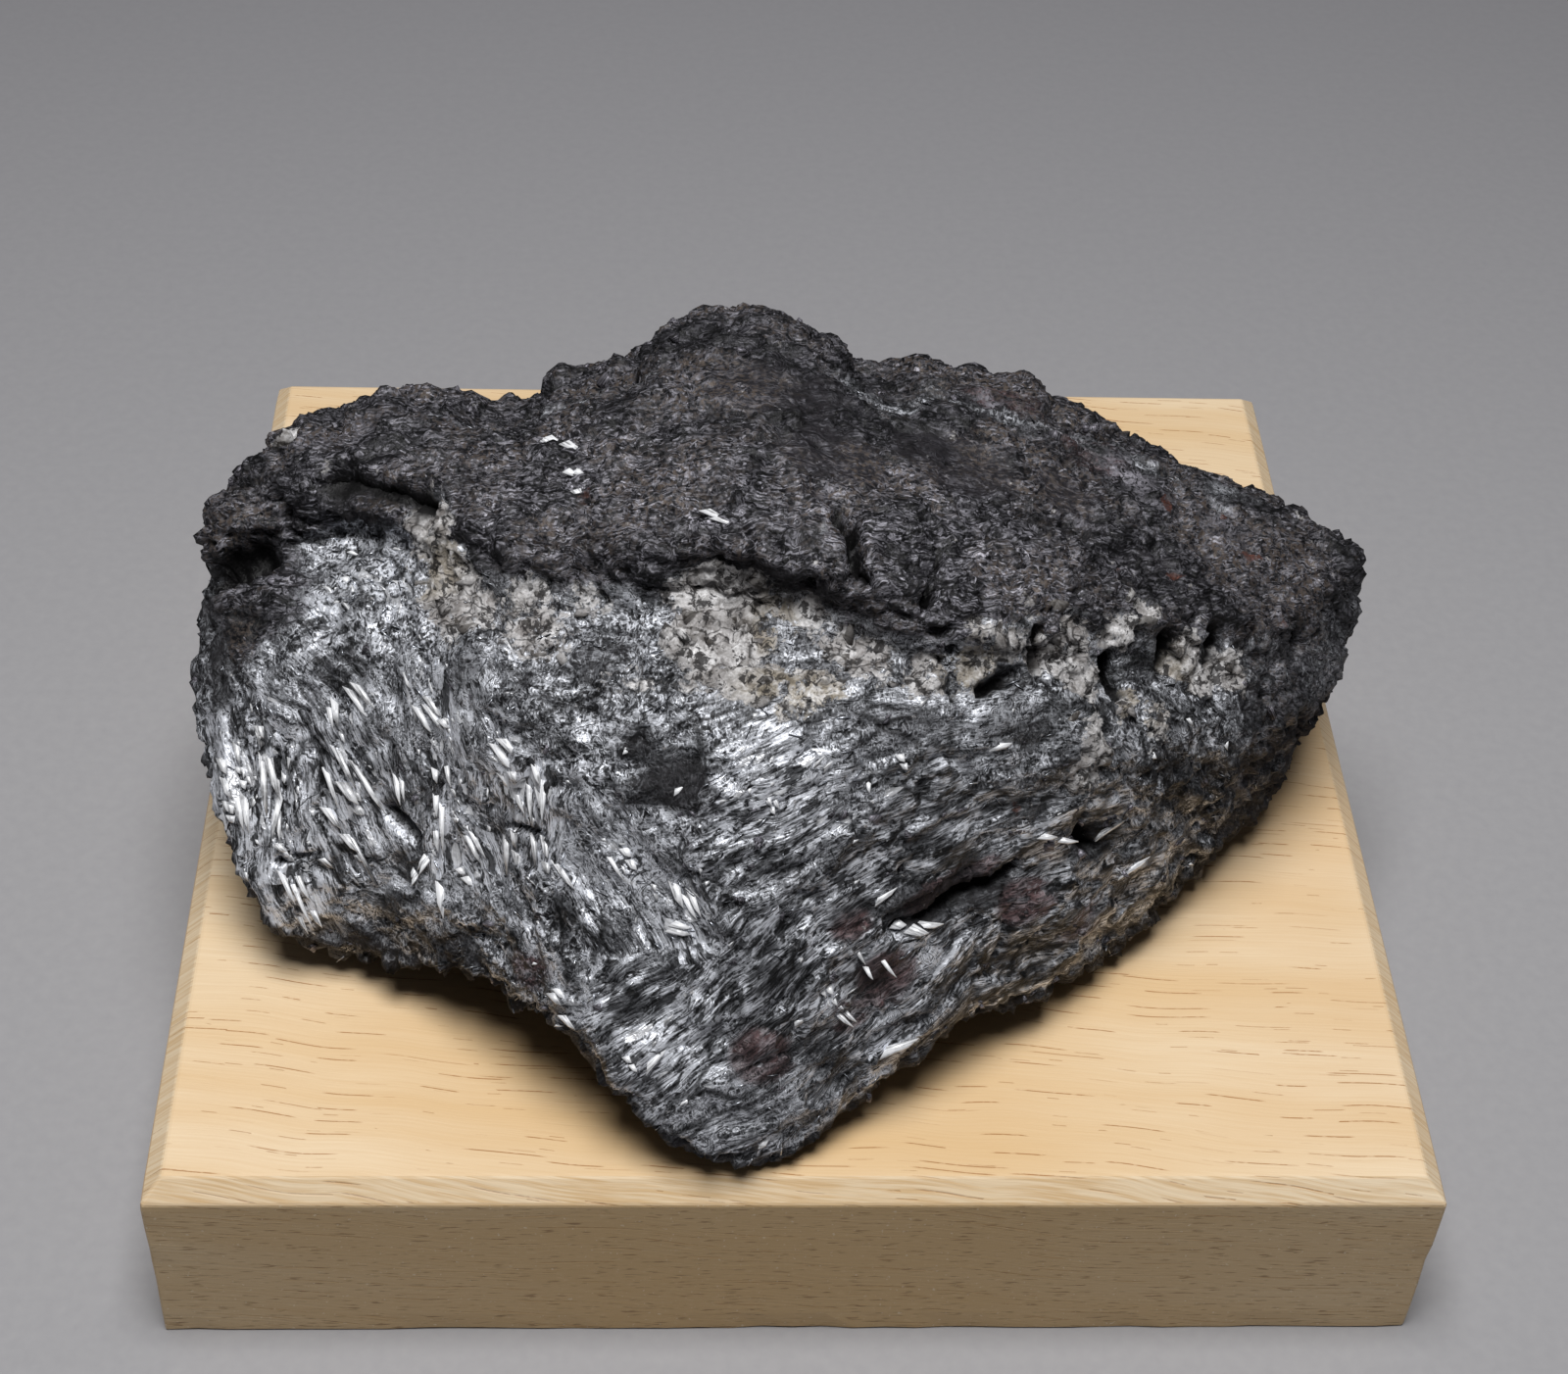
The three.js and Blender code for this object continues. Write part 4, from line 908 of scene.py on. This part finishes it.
# The large laths that catch the eye: start, end, width and tone.
largeLaths = [
    (-44.2, -21.5, 33.8, -43.5, -24.6, 31.2, 1.0, 1.0), (-45.3, -20.2, 34.3, -44.6, -23.8, 30.9, 0.7, 0.8),
    (-44.4, -19.4, 35.8, -44, -21.4, 34, 0.5, 0.7), (-42.3, -19.6, 37.5, -41.8, -24.6, 32, 0.6, 0.6),
    (-41.8, -19.5, 38.4, -41, -25, 31.6, 0.7, 0.75), (-40.8, -20, 38.4, -40, -25.4, 31.5, 0.5, 0.8),
    (-41.4, -21.5, 36.4, -40.6, -25.8, 31.2, 0.35, 0.9),
    (-40.6, -26.6, 29.8, -38.7, -28.9, 23.8, 0.8, 0.95), (-39.9, -26.6, 29.9, -37.9, -28.8, 24.7, 0.5, 0.8),
    (-40.6, -25.4, 31.5, -39.6, -27.5, 28.5, 0.5, 0.7), (-37.5, -22.1, 37.8, -36, -25.1, 33.8, 0.5, 0.7),
    (-35.9, -22.4, 38.7, -33.7, -26.5, 33, 0.5, 0.75), (-34.7, -23.1, 38.3, -31.7, -28, 32.4, 0.45, 0.7),
    (-36.4, -25.8, 32.3, -32.5, -29, 30, 0.5, 0.6), (-37.2, -24.4, 34.1, -34.1, -27.6, 30.8, 0.6, 0.75),
    (-35.5, -23.8, 36.1, -33.3, -26.6, 32.2, 0.7, 0.8), (-36.6, -20, 41.1, -36.1, -21.6, 39.7, 0.9, 0.95),
    (-35.5, -19.6, 42.2, -33.4, -22.2, 41.1, 0.5, 0.8), (-34.6, -19.7, 42.8, -32.8, -21.9, 41.9, 0.4, 0.7),
    (-29, -23.2, 44.3, -27.3, -25.6, 43.5, 1.0, 0.9), (-29.8, -23.2, 43.8, -28.6, -25.1, 42.7, 0.5, 0.75),
    (-27.9, -26.8, 39.9, -27.9, -30, 34, 0.85, 1.0), (-27.8, -30.3, 33.8, -27.7, -32.4, 30.2, 0.7, 0.95),
    (-28.5, -29.4, 34.3, -30.2, -29.7, 31.3, 0.8, 0.95), (-26.4, -28.7, 38.4, -24.4, -32.1, 35.4, 0.8, 1.0),
    (-26.2, -31.2, 34.4, -25.3, -32.6, 33.6, 0.6, 0.9), (-31, -24.8, 38.6, -30.7, -26.3, 36.3, 0.8, 0.95),
    (-27.1, -26.1, 41.3, -27, -27.9, 38.4, 0.35, 0.8), (-21.8, -30.4, 44.9, -21.6, -31.8, 40.8, 0.5, 0.85),
    (-21, -30.6, 45.4, -20.7, -32.7, 41, 0.5, 1.0), (-20.3, -31, 45.6, -19.9, -33.1, 41.8, 0.5, 0.95),
    (-19.6, -31.3, 45.8, -19.3, -33.4, 42.1, 0.45, 1.0), (-22.6, -31.5, 39, -22.4, -33.8, 36.3, 0.5, 0.6),
    (-21.8, -32, 39.2, -21.6, -34.7, 36.9, 0.5, 0.55), (-20.4, -33.1, 40.4, -20.2, -35.4, 38, 0.4, 0.65),
    (-19.3, -33.8, 40.6, -19.1, -35.8, 38.6, 0.5, 0.7), (-23.6, -28.8, 45.2, -22, -30.5, 44.2, 0.6, 0.9),
    (-22.9, -28.6, 45.8, -21.5, -30.1, 45.3, 0.5, 0.95),
    (-14.3, -35.7, 42.5, -12.8, -37.2, 40.5, 0.6, 0.95), (-15.2, -35.9, 41.7, -13.4, -37.7, 39.7, 0.3, 0.7),
    (-10.4, -37.9, 41.2, -9.6, -39.7, 39.2, 0.7, 0.9), (-9.4, -38.5, 40.7, -8.4, -40.4, 38.7, 0.9, 1.0),
    (-10.2, -40.2, 38.1, -8.6, -40.8, 38.1, 0.8, 1.0), (-18.7, -34.8, 39.4, -17.5, -37.1, 38.6, 0.4, 0.7),
    (1.2, -42.3, 33.8, 1.9, -42.6, 31.9, 0.9, 1.0), (1.8, -42.4, 31.9, 3.5, -42.9, 30, 0.8, 0.95),
    (3.4, -40.3, 35.9, 4.9, -40.6, 32.9, 0.3, 0.9), (5.3, -40, 34.8, 6.7, -40.8, 32.7, 0.3, 0.85),
    (6.7, -38.3, 36.4, 8.9, -38.2, 34.3, 0.7, 0.9), (8.7, -37.8, 36.3, 10.1, -37.3, 34.5, 0.6, 0.9),
    (5.1, -38.5, 38.5, 6.9, -37.8, 39.2, 0.35, 0.9), (18, -30.7, 37.9, 20.8, -29.6, 35.8, 0.45, 1.0),
    (25.4, -27.8, 30.3, 28.1, -26.7, 30, 0.5, 0.9), (23.2, -28.2, 34.8, 26, -26, 34.5, 0.35, 0.6),
    (13.5, -29.8, 46.1, 15.1, -29.3, 46, 0.5, 1.0), (6.5, -32.5, 48.2, 7, -33.2, 47.2, 0.5, 1.0),
    (4.1, -34, 47, 4.3, -34.7, 46.3, 0.35, 0.9), (-3.4, -35.8, 47.4, -2.6, -36.6, 46.4, 0.8, 0.95),
    (-12.1, -46.1, 28.9, -9.7, -45.6, 30, 0.5, 0.9), (-13.4, -45.4, 29.2, -12.6, -45.8, 27.9, 0.4, 0.9),
    (-18.9, -41, 31.6, -18.1, -42, 31.2, 0.9, 0.95), (-18.1, -42.4, 30.6, -17.3, -43.3, 29.7, 0.4, 0.9),
    (5.9, -43.4, 26.5, 8.6, -43.3, 28, 0.6, 0.9), (-3.4, -48.2, 22.5, -2.5, -48.4, 22.4, 0.6, 1.0),
    (-20.2, -3.7, 53.5, -18.6, -5.5, 54.4, 0.9, 1.0), (-17.9, -8.4, 54.9, -17.6, -9.6, 55, 0.9, 1.0),
    (-17.3, -10.9, 55.3, -17, -11.6, 55.2, 0.6, 1.0), (-18.4, -5.3, 54.5, -17.6, -6.9, 54.8, 0.5, 0.85),
    (-7.6, -17.4, 58.6, -5.6, -19.2, 58.4, 0.4, 0.75), (-7, -18.1, 58.3, -5.2, -19.8, 58, 0.3, 0.7),
]


lathPiece = {"ribWidth": 0.6, "breakEvery": 1.3, "breakShare": 0.3, "shortest": 0.15, "thick": 0.3,
             "widen": 1.2, "lengthen": 1.05, "lift": 0.12, "flashFrom": 0.68}


def layLaths(middles, along, ups, widths, lengths, tones, flashes, rng):
    # each lath is a sheaf of narrow ribs side by side, broken across here and there;
    # the pieces of one that flashes are turned until they throw the light back
    places, axes, sizes, brightness = [], [], [], []
    toView, toFlash = facing(middles)
    for i, (middle, heading, up) in enumerate(zip(middles, along, ups)):
        width, length, way = widths[i], lengths[i], heading
        across, _, face = axesFrom(way[None], up[None])[0]
        up = face
        if flashes[i]:
            heading = unit(way - toView[i] * (way @ toFlash[i]) / (toView[i] @ toFlash[i]))
            face = toFlash[i]
        ribs = max(1, int(round(width / lathPiece["ribWidth"])))
        sideways = np.cross(heading, face)
        spans = int(length / lathPiece["breakEvery"]) + 1
        for rib in range(ribs):
            aside = ((rib + 0.5) / ribs - 0.5) * width
            breaks = np.arange(1, spans) / spans - 0.5
            breaks = breaks[rng.random(len(breaks)) < lathPiece["breakShare"]] if len(breaks) else breaks
            ends = np.concatenate([[-0.5 - rng.uniform(-0.05, 0.08)],
                                   breaks + rng.normal(0, 0.03, len(breaks)),
                                   [0.5 + rng.uniform(-0.08, 0.08)]])
            for start, end in zip(ends[:-1] * length, ends[1:] * length):
                if end - start > lathPiece["shortest"]:
                    places.append(middle + way * (start + end) / 2 + across * aside + up
                                  * rng.normal(0, 0.03))
                    skewed = heading + sideways * rng.normal(0, 0.02)
                    leant = face + sideways * rng.normal(0, 0.045) + heading * rng.normal(0, 0.03)
                    axes.append(axesFrom(skewed[None], leant[None])[0])
                    sizes.append((width / ribs * rng.uniform(0.9, 1.2), (end - start) * 0.98,
                                  lathPiece["thick"]))
                    brightness.append(tones[i] * rng.uniform(0.85, 1.0))
    return [np.array(part) for part in (places, axes, sizes, brightness)]


def makeLargeLaths():
    starts, ends = (np.array([l[i:i + 3] for l in largeLaths], float) for i in (0, 3))
    widths, tones = (np.array([l[i] for l in largeLaths]) for i in (6, 7))
    middles, ups = [], []
    for middle in (starts + ends) / 2:
        place, normal, _, _ = stoneTree.find_nearest(Vector(middle))
        middles.append(Vector(place) + normal * lathPiece["lift"])
        ups.append(normal)
    lengths = np.linalg.norm(ends - starts, axis=1) * lathPiece["lengthen"]
    along = alongSurface(unit(ends - starts), np.array(ups))
    laid = layLaths(np.array(middles), along, np.array(ups), widths * lathPiece["widen"], lengths, tones,
                    tones > lathPiece["flashFrom"], np.random.default_rng(11))
    joinCopies("large_laths", lathShape(), *laid, freshLaths)


def alongSurface(way, normal):
    return unit(way - normal * (way * normal).sum(1, keepdims=True) * 0.92)


flashing = {"seed": 21, "count": 150, "sunk": 0.09, "turn": 0.3, "flashFrom": 0.8}


def makeFlashes():
    # short fresh laths that flash here and there on the felt
    rng, count = np.random.default_rng(flashing["seed"]), flashing["count"]
    faces = pickFaces(rng, fibrousSkin * upward * (0.05 + skin["shine"] ** 2), count)
    normal = skin["normal"][faces]
    along = turned(alongSurface(skin["way"][faces], normal), normal, rng.normal(0, flashing["turn"], count))
    tones = rng.uniform(0.55, 1.0, count)
    widths = 0.18 + 0.4 * rng.random(count) ** 2
    lengths = 0.4 + 1.3 * rng.random(count) ** 2
    middles = skin["middle"][faces] - normal * flashing["sunk"]
    laid = layLaths(middles, along, normal, widths, lengths, tones, tones > flashing["flashFrom"], rng)
    joinCopies("lath_flashes", lathShape(), *laid, freshLaths)


def scatterNeedles(name, shape, seed, count, weight, length, width, thick, wander, sparkle, lift, material):
    rng = np.random.default_rng(seed)
    faces = pickFaces(rng, weight, count)
    normal = skin["normal"][faces]
    middles = skin["middle"][faces] + rng.normal(0, 0.1, (count, 3))
    # neighbouring needles turn together, and each a little on its own
    swing = sample(middles * 0.45, noise.noise) * wander * 1.6 + rng.normal(0, wander * 0.4, count)
    along = turned(alongSurface(skin["way"][faces], normal), normal, swing)
    up = unit(normal + rng.normal(0, 0.3, (count, 3)))
    # painted glint and sheen: needles turned to the light are painted bright, the rest brighter where bundles
    # shine
    bright = skin["shine"][faces] * (1 - 0.8 * skin["soot"][faces]) * (1 - 0.6 * skin["brown"][faces])
    flash = rng.random(count) < sparkle * (0.15 + bright ** 1.5)
    up = np.where(flash[:, None], facing(middles)[1], up)
    tones = np.where(flash, rng.uniform(0.7, 1.0, count), rng.random(count) ** 1.3 * (0.25 + 0.75 * bright))
    size = np.stack([rng.uniform(*span, count) for span in (width, length, thick)], 1)
    middles = middles + normal * (lift + rng.uniform(-0.05, 0.05, count))[:, None]
    joinCopies(name, shape, middles, axesFrom(along, up), size, tones, material)


def scatterCrumbs(name, seed, count, weight, smallest, largest, sink, flatness, tones, material):
    # three meshes, each of one crumb shape
    rng = np.random.default_rng(seed)
    for part in range(3):
        faces = pickFaces(rng, weight, count // 3)
        normal = skin["normal"][faces]
        size = smallest + (largest - smallest) * rng.random(len(faces)) ** 2.5
        sizes = size[:, None] * rng.uniform(0.7, 1.3, (len(faces), 3)) * flatness
        along = unit(rng.normal(0, 1, (len(faces), 3)) * (1, 0.6, 0.4))
        axes = axesFrom(alongSurface(along, normal), unit(normal + rng.normal(0, 0.25, (len(faces), 3))))
        middles = skin["middle"][faces] - normal * (size * sink)[:, None]
        joinCopies(name + "_" + str(part + 1), crumbShape(seed + part), middles, axes, sizes,
                   rng.uniform(*tones, len(faces)), material)


makeLargeLaths()
fibrousSkin = (1 - skin["slab"]) * (1 - skin["vein"]) * (1 - 0.9 * skin["slaty"]) * (skin["sunken"] < 0.5)
slabSkin = skin["slab"] * (1 - skin["vein"]) * (1 - 0.85 * skin["slaty"]) * (skin["sunken"] < 0.5)
upward = smoothStep(skin["normal"][:, 2], -0.3, 0.2)
makeFlashes()
scatterNeedles("felt_needles", fibreShape(), seed=22, count=1200,
               weight=fibrousSkin * upward * (1.1 - skin["order"]) * (0.2 + skin["shine"]),
               length=(0.4, 1.2), width=(0.1, 0.2), thick=(0.1, 0.18), wander=1.1, sparkle=0.04, lift=-0.02,
               material=feltedNeedles)


def veinMaterial():
    # Loose calcite blocks in the vein: the same dirty cream to grey, slightly waxy.
    material, add = newMaterial("calcite_cleaved_dirty")
    pale, grains = veinColour(add, placeInMillimetres(add))
    tone = add("Attribute", attribute_name="tone").outputs["Fac"]
    colour = painted(add, pale, (add("MapRange", tone, 0, 1, 0.7, 0.0), "3b3630"))
    finish(add, colour, 0.0, 0.6, tilted(add, leanOf(add, grains, 0.3)))
    return material


steepness = -skin["normal"][:, 2]
rim = fibrousSkin * smoothStep(steepness, -0.15, 0.15) * smoothStep(-steepness, -0.75, -0.5)
rim = rim * smoothStep(-skin["middle"][:, 1], 6, 12)
crest = smoothStep(skin["middle"][:, 1], 0, 9) + 0.5 * smoothStep(skin["middle"][:, 0], 32, 42)
crest = crest + 0.4 * smoothStep(-skin["middle"][:, 0], 38, 44)
scatterCrumbs("vein_blocks", seed=31, count=270, weight=skin["vein"] * (skin["sunken"] < 0.4),
              smallest=0.35, largest=1.8, sink=0.42, flatness=(1.2, 1.0, 0.7), tones=(0, 1),
              material=veinMaterial())
scatterCrumbs("rim_crumbs", seed=51, count=540, weight=rim, smallest=0.3, largest=1.2, sink=0.3,
              flatness=(1.2, 1.0, 0.8), tones=(0.0, 0.6), material=weatheredCrumbs)
scatterCrumbs("crest_crumbs", seed=41, count=600,
              weight=slabSkin * (0.04 + crest) * smoothStep(-steepness, -0.7, 0),
              smallest=0.35, largest=1.7, sink=0.4, flatness=(1.3, 1.0, 0.7), tones=(0.0, 0.5),
              material=weatheredCrumbs)


block = {"side": blockHigh.x - blockLow.x, "height": blockHigh.z - blockLow.z, "chamfer": 1.6 * mm,
         "easedEdge": 0.22 * mm, "cells": 39, "cellsUp": 7, "chipDepth": 0.45 * mm, "grainSlant": -5.0}


def makeBlockMesh():
    side, height = block["side"], block["height"]
    bm = bmesh.new()
    bmesh.ops.create_cube(bm, size=1)
    bmesh.ops.scale(bm, vec=(side, side, height), verts=bm.verts)
    bmesh.ops.translate(bm, vec=(0, 0, height / 2), verts=bm.verts)
    flat = [e for e in bm.edges if abs(e.verts[0].co.z - e.verts[1].co.z) < 1e-6]
    bmesh.ops.subdivide_edges(bm, edges=flat, cuts=block["cells"], use_grid_fill=True)
    upright = [e for e in bm.edges if abs(e.verts[0].co.z - e.verts[1].co.z) > height / 2]
    bmesh.ops.subdivide_edges(bm, edges=upright, cuts=block["cellsUp"], use_grid_fill=True)
    sharp = [e for e in bm.edges if len(e.link_faces) == 2 and e.calc_face_angle() > 1]
    top = [e for e in sharp if all(v.co.z > height - 1e-6 for v in e.verts)]
    bevelled = {"offset_type": "OFFSET", "affect": "EDGES", "profile": 0.5, "material": -1}
    bmesh.ops.bevel(bm, geom=top, offset=block["chamfer"], segments=1, **bevelled)
    sharp = [e for e in bm.edges if len(e.link_faces) == 2 and e.calc_face_angle() > 0.5]
    bmesh.ops.bevel(bm, geom=sharp, offset=block["easedEdge"], segments=2, **bevelled)
    # worn edges: small dents where two sides meet
    for v in bm.verts:
        p = v.co / mm
        inset = sorted((50 - abs(p.x), 50 - abs(p.y), min(p.z, height / mm - p.z)))
        nearEdge = max(0.0, 1 - inset[1] / 1.2)
        broad, small = noise.noise(p * 0.55) - 0.1, noise.noise(p * 1.9 + Vector((9, 0, 0)))
        dent = max(0.0, broad) + 0.5 * max(0.0, small)
        middle = Vector((0, 0, height / 2))
        v.co += (middle - v.co).normalized() * dent * nearEdge * block["chipDepth"]
        v.co.z = max(v.co.z, 0)
    bmesh.ops.recalc_face_normals(bm, faces=bm.faces)
    mesh = bpy.data.meshes.new("woodenBlock")
    bm.to_mesh(mesh)
    bm.free()
    # grain coordinates in mm for each face corner: along the grain, across it, and which side it is
    coordinates, ends = [], []
    for polygon in mesh.polygons:
        n = polygon.normal
        onEnd, onFront = abs(n.x) > 0.8, abs(n.y) > 0.8
        for index in polygon.vertices:
            p = mesh.vertices[index].co / mm
            coordinates.append((p.y, p.z, 40) if onEnd else (p.x, p.z, 20 * n.y) if onFront
                               else (p.x, p.y, 0))
            ends.append(float(onEnd))
    storeAttribute(mesh, "grain", coordinates, "CORNER")
    storeAttribute(mesh, "endGrain", ends, "CORNER")
    return mesh


def woodMaterial():
    # Rubberwood, sanded and left bare: pale straw with faint bands, and short open pores full of brown dust.
    material, add = newMaterial("rubberwood_sanded_bare")
    grain = add("Attribute", attribute_name="grain").outputs["Vector"]
    endGrain = add("Attribute", attribute_name="endGrain").outputs["Fac"]
    inMillimetres = placeInMillimetres(add)
    slant = {"Vector": grain, "Angle": math.radians(-block["grainSlant"])}
    slanted = add("VectorRotate", rotation_type="Z_AXIS", inputs=slant)
    sway = add("VectorMath MULTIPLY_ADD", add("TexNoise", slanted, 0.04, 2.0).outputs["Color"], (0, 5, 0),
               slanted)
    bands = add("TexNoise", add("VectorMath MULTIPLY", sway, (0.012, 0.16, 1)), 1.0, 3.0)
    fine = add("TexNoise", add("VectorMath MULTIPLY", sway, (0.12, 5, 1)), 1.0, 3.0, 0.6)
    blotches = add("TexNoise", grain, 0.03, 2.0)
    colour = painted(add, srgb("f2dfc1"),
                     (add("MapRange", bands, 0.3, 0.7), "e4c69c"),
                     (add("MapRange", fine, 0.25, 0.75, 0.0, 0.4), "cfab7e"),
                     (add("MapRange", blotches, 0.45, 0.7, 0.0, 0.5), "dbb687"))
    # the middle of the board is painted darker and more golden than its sides: painted shade of the stone
    across = add("SeparateXYZ", inMillimetres).outputs[0]
    shadedMiddle = add("MapRange", add("Math ABSOLUTE", across), 15, 42, 1.0, 0.0)
    colour = painted(add, colour, (shadedMiddle, 0.6, "d7b17c"))

    def pores(size, length, halfWidth, share, seed):
        # one dash to a cell: near the cell's middle line and not past the pore's own length
        moved = add("VectorMath ADD", sway, (seed, seed, 0))
        node, random = cells(add, moved, size)
        middle = add("VectorMath MULTIPLY", node.outputs["Position"], size)
        apart = add("SeparateXYZ", add("VectorMath SUBTRACT", moved, middle)).outputs
        reach = add("MapRange", random[0], 0, 1, length * 0.35, length)
        ends = add("Math SUBTRACT", 1.0, add("Math DIVIDE", add("Math ABSOLUTE", apart[0]), reach))
        inLength = add("MapRange", ends, 0.0, 0.25)
        inWidth = add("MapRange", add("Math ABSOLUTE", apart[1]), halfWidth * 0.4, halfWidth, 1.0, 0.0)
        picked = add("MapRange", random[1], 1 - share, 1 - share + 0.25)
        return add("Math MULTIPLY", add("Math MULTIPLY", inLength, inWidth), picked)

    dashes = pores((8.5, 1.5, 1000), 3.8, 0.06, 0.7, 0)
    dots = pores((4.4, 1.3, 1000), 1.4, 0.05, 0.5, 311)
    ragged = add("MapRange", add("TexNoise", add("VectorMath MULTIPLY", sway, (1.4, 6, 1)), 1.0, 3.0), 0.35,
                 0.5, 0.35, 1.0)
    pore = add("Math MULTIPLY", add("Math MAXIMUM", dashes, add("Math MULTIPLY", dots, 0.7)), ragged)
    onSides = add("MapRange", endGrain, 0, 1, 1.0, 0.25)
    colour = painted(add, colour, (pore, onSides, 0.85, "a5692f"))
    # the upright sides, cut with a saw and not sanded, have pale torn flecks;
    # they are also painted darker as painted shade
    normal = add("SeparateXYZ", add("NewGeometry").outputs["Normal"]).outputs
    upright = add("MapRange", normal[2], 0.2, 0.6, 1.0, 0.0)
    flecks = add("TexNoise", add("VectorMath MULTIPLY", grain, (0.9, 3.5, 1)), 1.0, 4.0, 0.7)
    shadedSides = painted(add, srgb("bfa477"), (add("MapRange", flecks, 0.55, 0.75, 0.0, 0.5), "ebdcb8"))
    colour = add("Mix RGBA", add("Math MULTIPLY", upright, 0.5), colour, shadedSides)
    # there the pores are cut short, and some are filled with pale dust
    cutPores = add("TexNoise", add("VectorMath MULTIPLY", inMillimetres, (0.5, 0.5, 4.5)), 1.0, 2.0)
    colour = painted(add, colour, (upright, add("MapRange", cutPores, 0.6, 0.67, 0.0, 0.6), "7a5733"))
    dusty = add("TexNoise", inMillimetres, 2.4, 2.0)
    colour = painted(add, colour, (upright, add("MapRange", dusty, 0.66, 0.72, 0.0, 0.5), "f0e4cc"))
    # the chamfer is paler, with ribs left by the plane
    chamfer = add("Math MULTIPLY", add("MapRange", normal[2], 0.45, 0.6),
                  add("MapRange", normal[2], 0.9, 0.97, 1.0, 0.0))
    ribs = add("TexNoise", add("VectorMath MULTIPLY", sway, (0.14, 4.5, 1)), 1.0, 3.0, 0.6)
    ribbed = painted(add, srgb("f0e0c4"), (add("MapRange", ribs, 0.42, 0.62), "ccaa7b"))
    colour = add("Mix RGBA", add("Math MULTIPLY", chamfer, 0.45), colour, ribbed)
    endRings = add("TexNoise", add("VectorMath MULTIPLY", grain, (0.05, 0.4, 1)), 1.0, 3.0)
    colour = painted(add, colour, (endGrain, add("MapRange", endRings, 0.4, 0.65, 0.1, 0.6), "b98d58"))
    relief = add("Math MULTIPLY_ADD", pore, -0.4, add("Math MULTIPLY", fine, 0.5))
    bump = add("Bump", inputs={"Height": relief, "Distance": 0.12 * mm, "Strength": 0.6})
    finish(add, colour, 0.0, add("MapRange", fine, 0.3, 0.7, 0.5, 0.65), bump)
    return material


woodenBlock = newObject("wooden_block", makeBlockMesh(), woodMaterial())
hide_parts("display_block")
print("block ready")


def makeStudio():
    bm = bmesh.new()
    bmesh.ops.create_grid(bm, x_segments=1, y_segments=1, size=studio["floorSide"] / 2)
    mesh = bpy.data.meshes.new("floor")
    bm.to_mesh(mesh)
    bm.free()
    floor = bpy.data.objects.new("floor", mesh)
    bpy.context.scene.collection.objects.link(floor)
    # backing paper, painted a little darker towards the back as painted shade, where the light falls off
    material, add = newMaterial("grey_backing_paper")
    place = add("TexCoord").outputs["Object"]
    far = add("SeparateXYZ", place).outputs[1]
    near = painted(add, srgb("9a999c"), (add("TexNoise", place, 900.0, 2.0), "a4a3a5"))
    falloffShade = add("MapRange", far, studio["paintedFalloffFrom"], studio["paintedFalloffTo"])
    colour = painted(add, near, (falloffShade, "807f84"))
    add("OutputMaterial", add("BsdfPrincipled", inputs={"Base Color": colour, "Roughness": 0.9}))
    mesh.materials.append(material)

    light = bpy.data.lights.new("softbox", "AREA")
    light.shape = "SQUARE"
    light.size = studio["softboxSide"]
    light.energy = studio["softboxPower"]
    softbox = bpy.data.objects.new("softbox", light)
    bpy.context.scene.collection.objects.link(softbox)
    softbox.location = studio["softboxPlace"]
    softbox.rotation_euler = (Vector((0, 0, 0.03)) - softbox.location).to_track_quat("-Z", "Y").to_euler()

    world = bpy.data.worlds.new("studio")
    bpy.context.scene.world = world
    world.use_nodes = True
    world.node_tree.nodes["Background"].inputs[0].default_value = (0.5, 0.5, 0.52, 1)
    world.node_tree.nodes["Background"].inputs[1].default_value = studio["ambient"]
    bpy.context.scene.view_settings.view_transform = "Standard"


makeStudio()
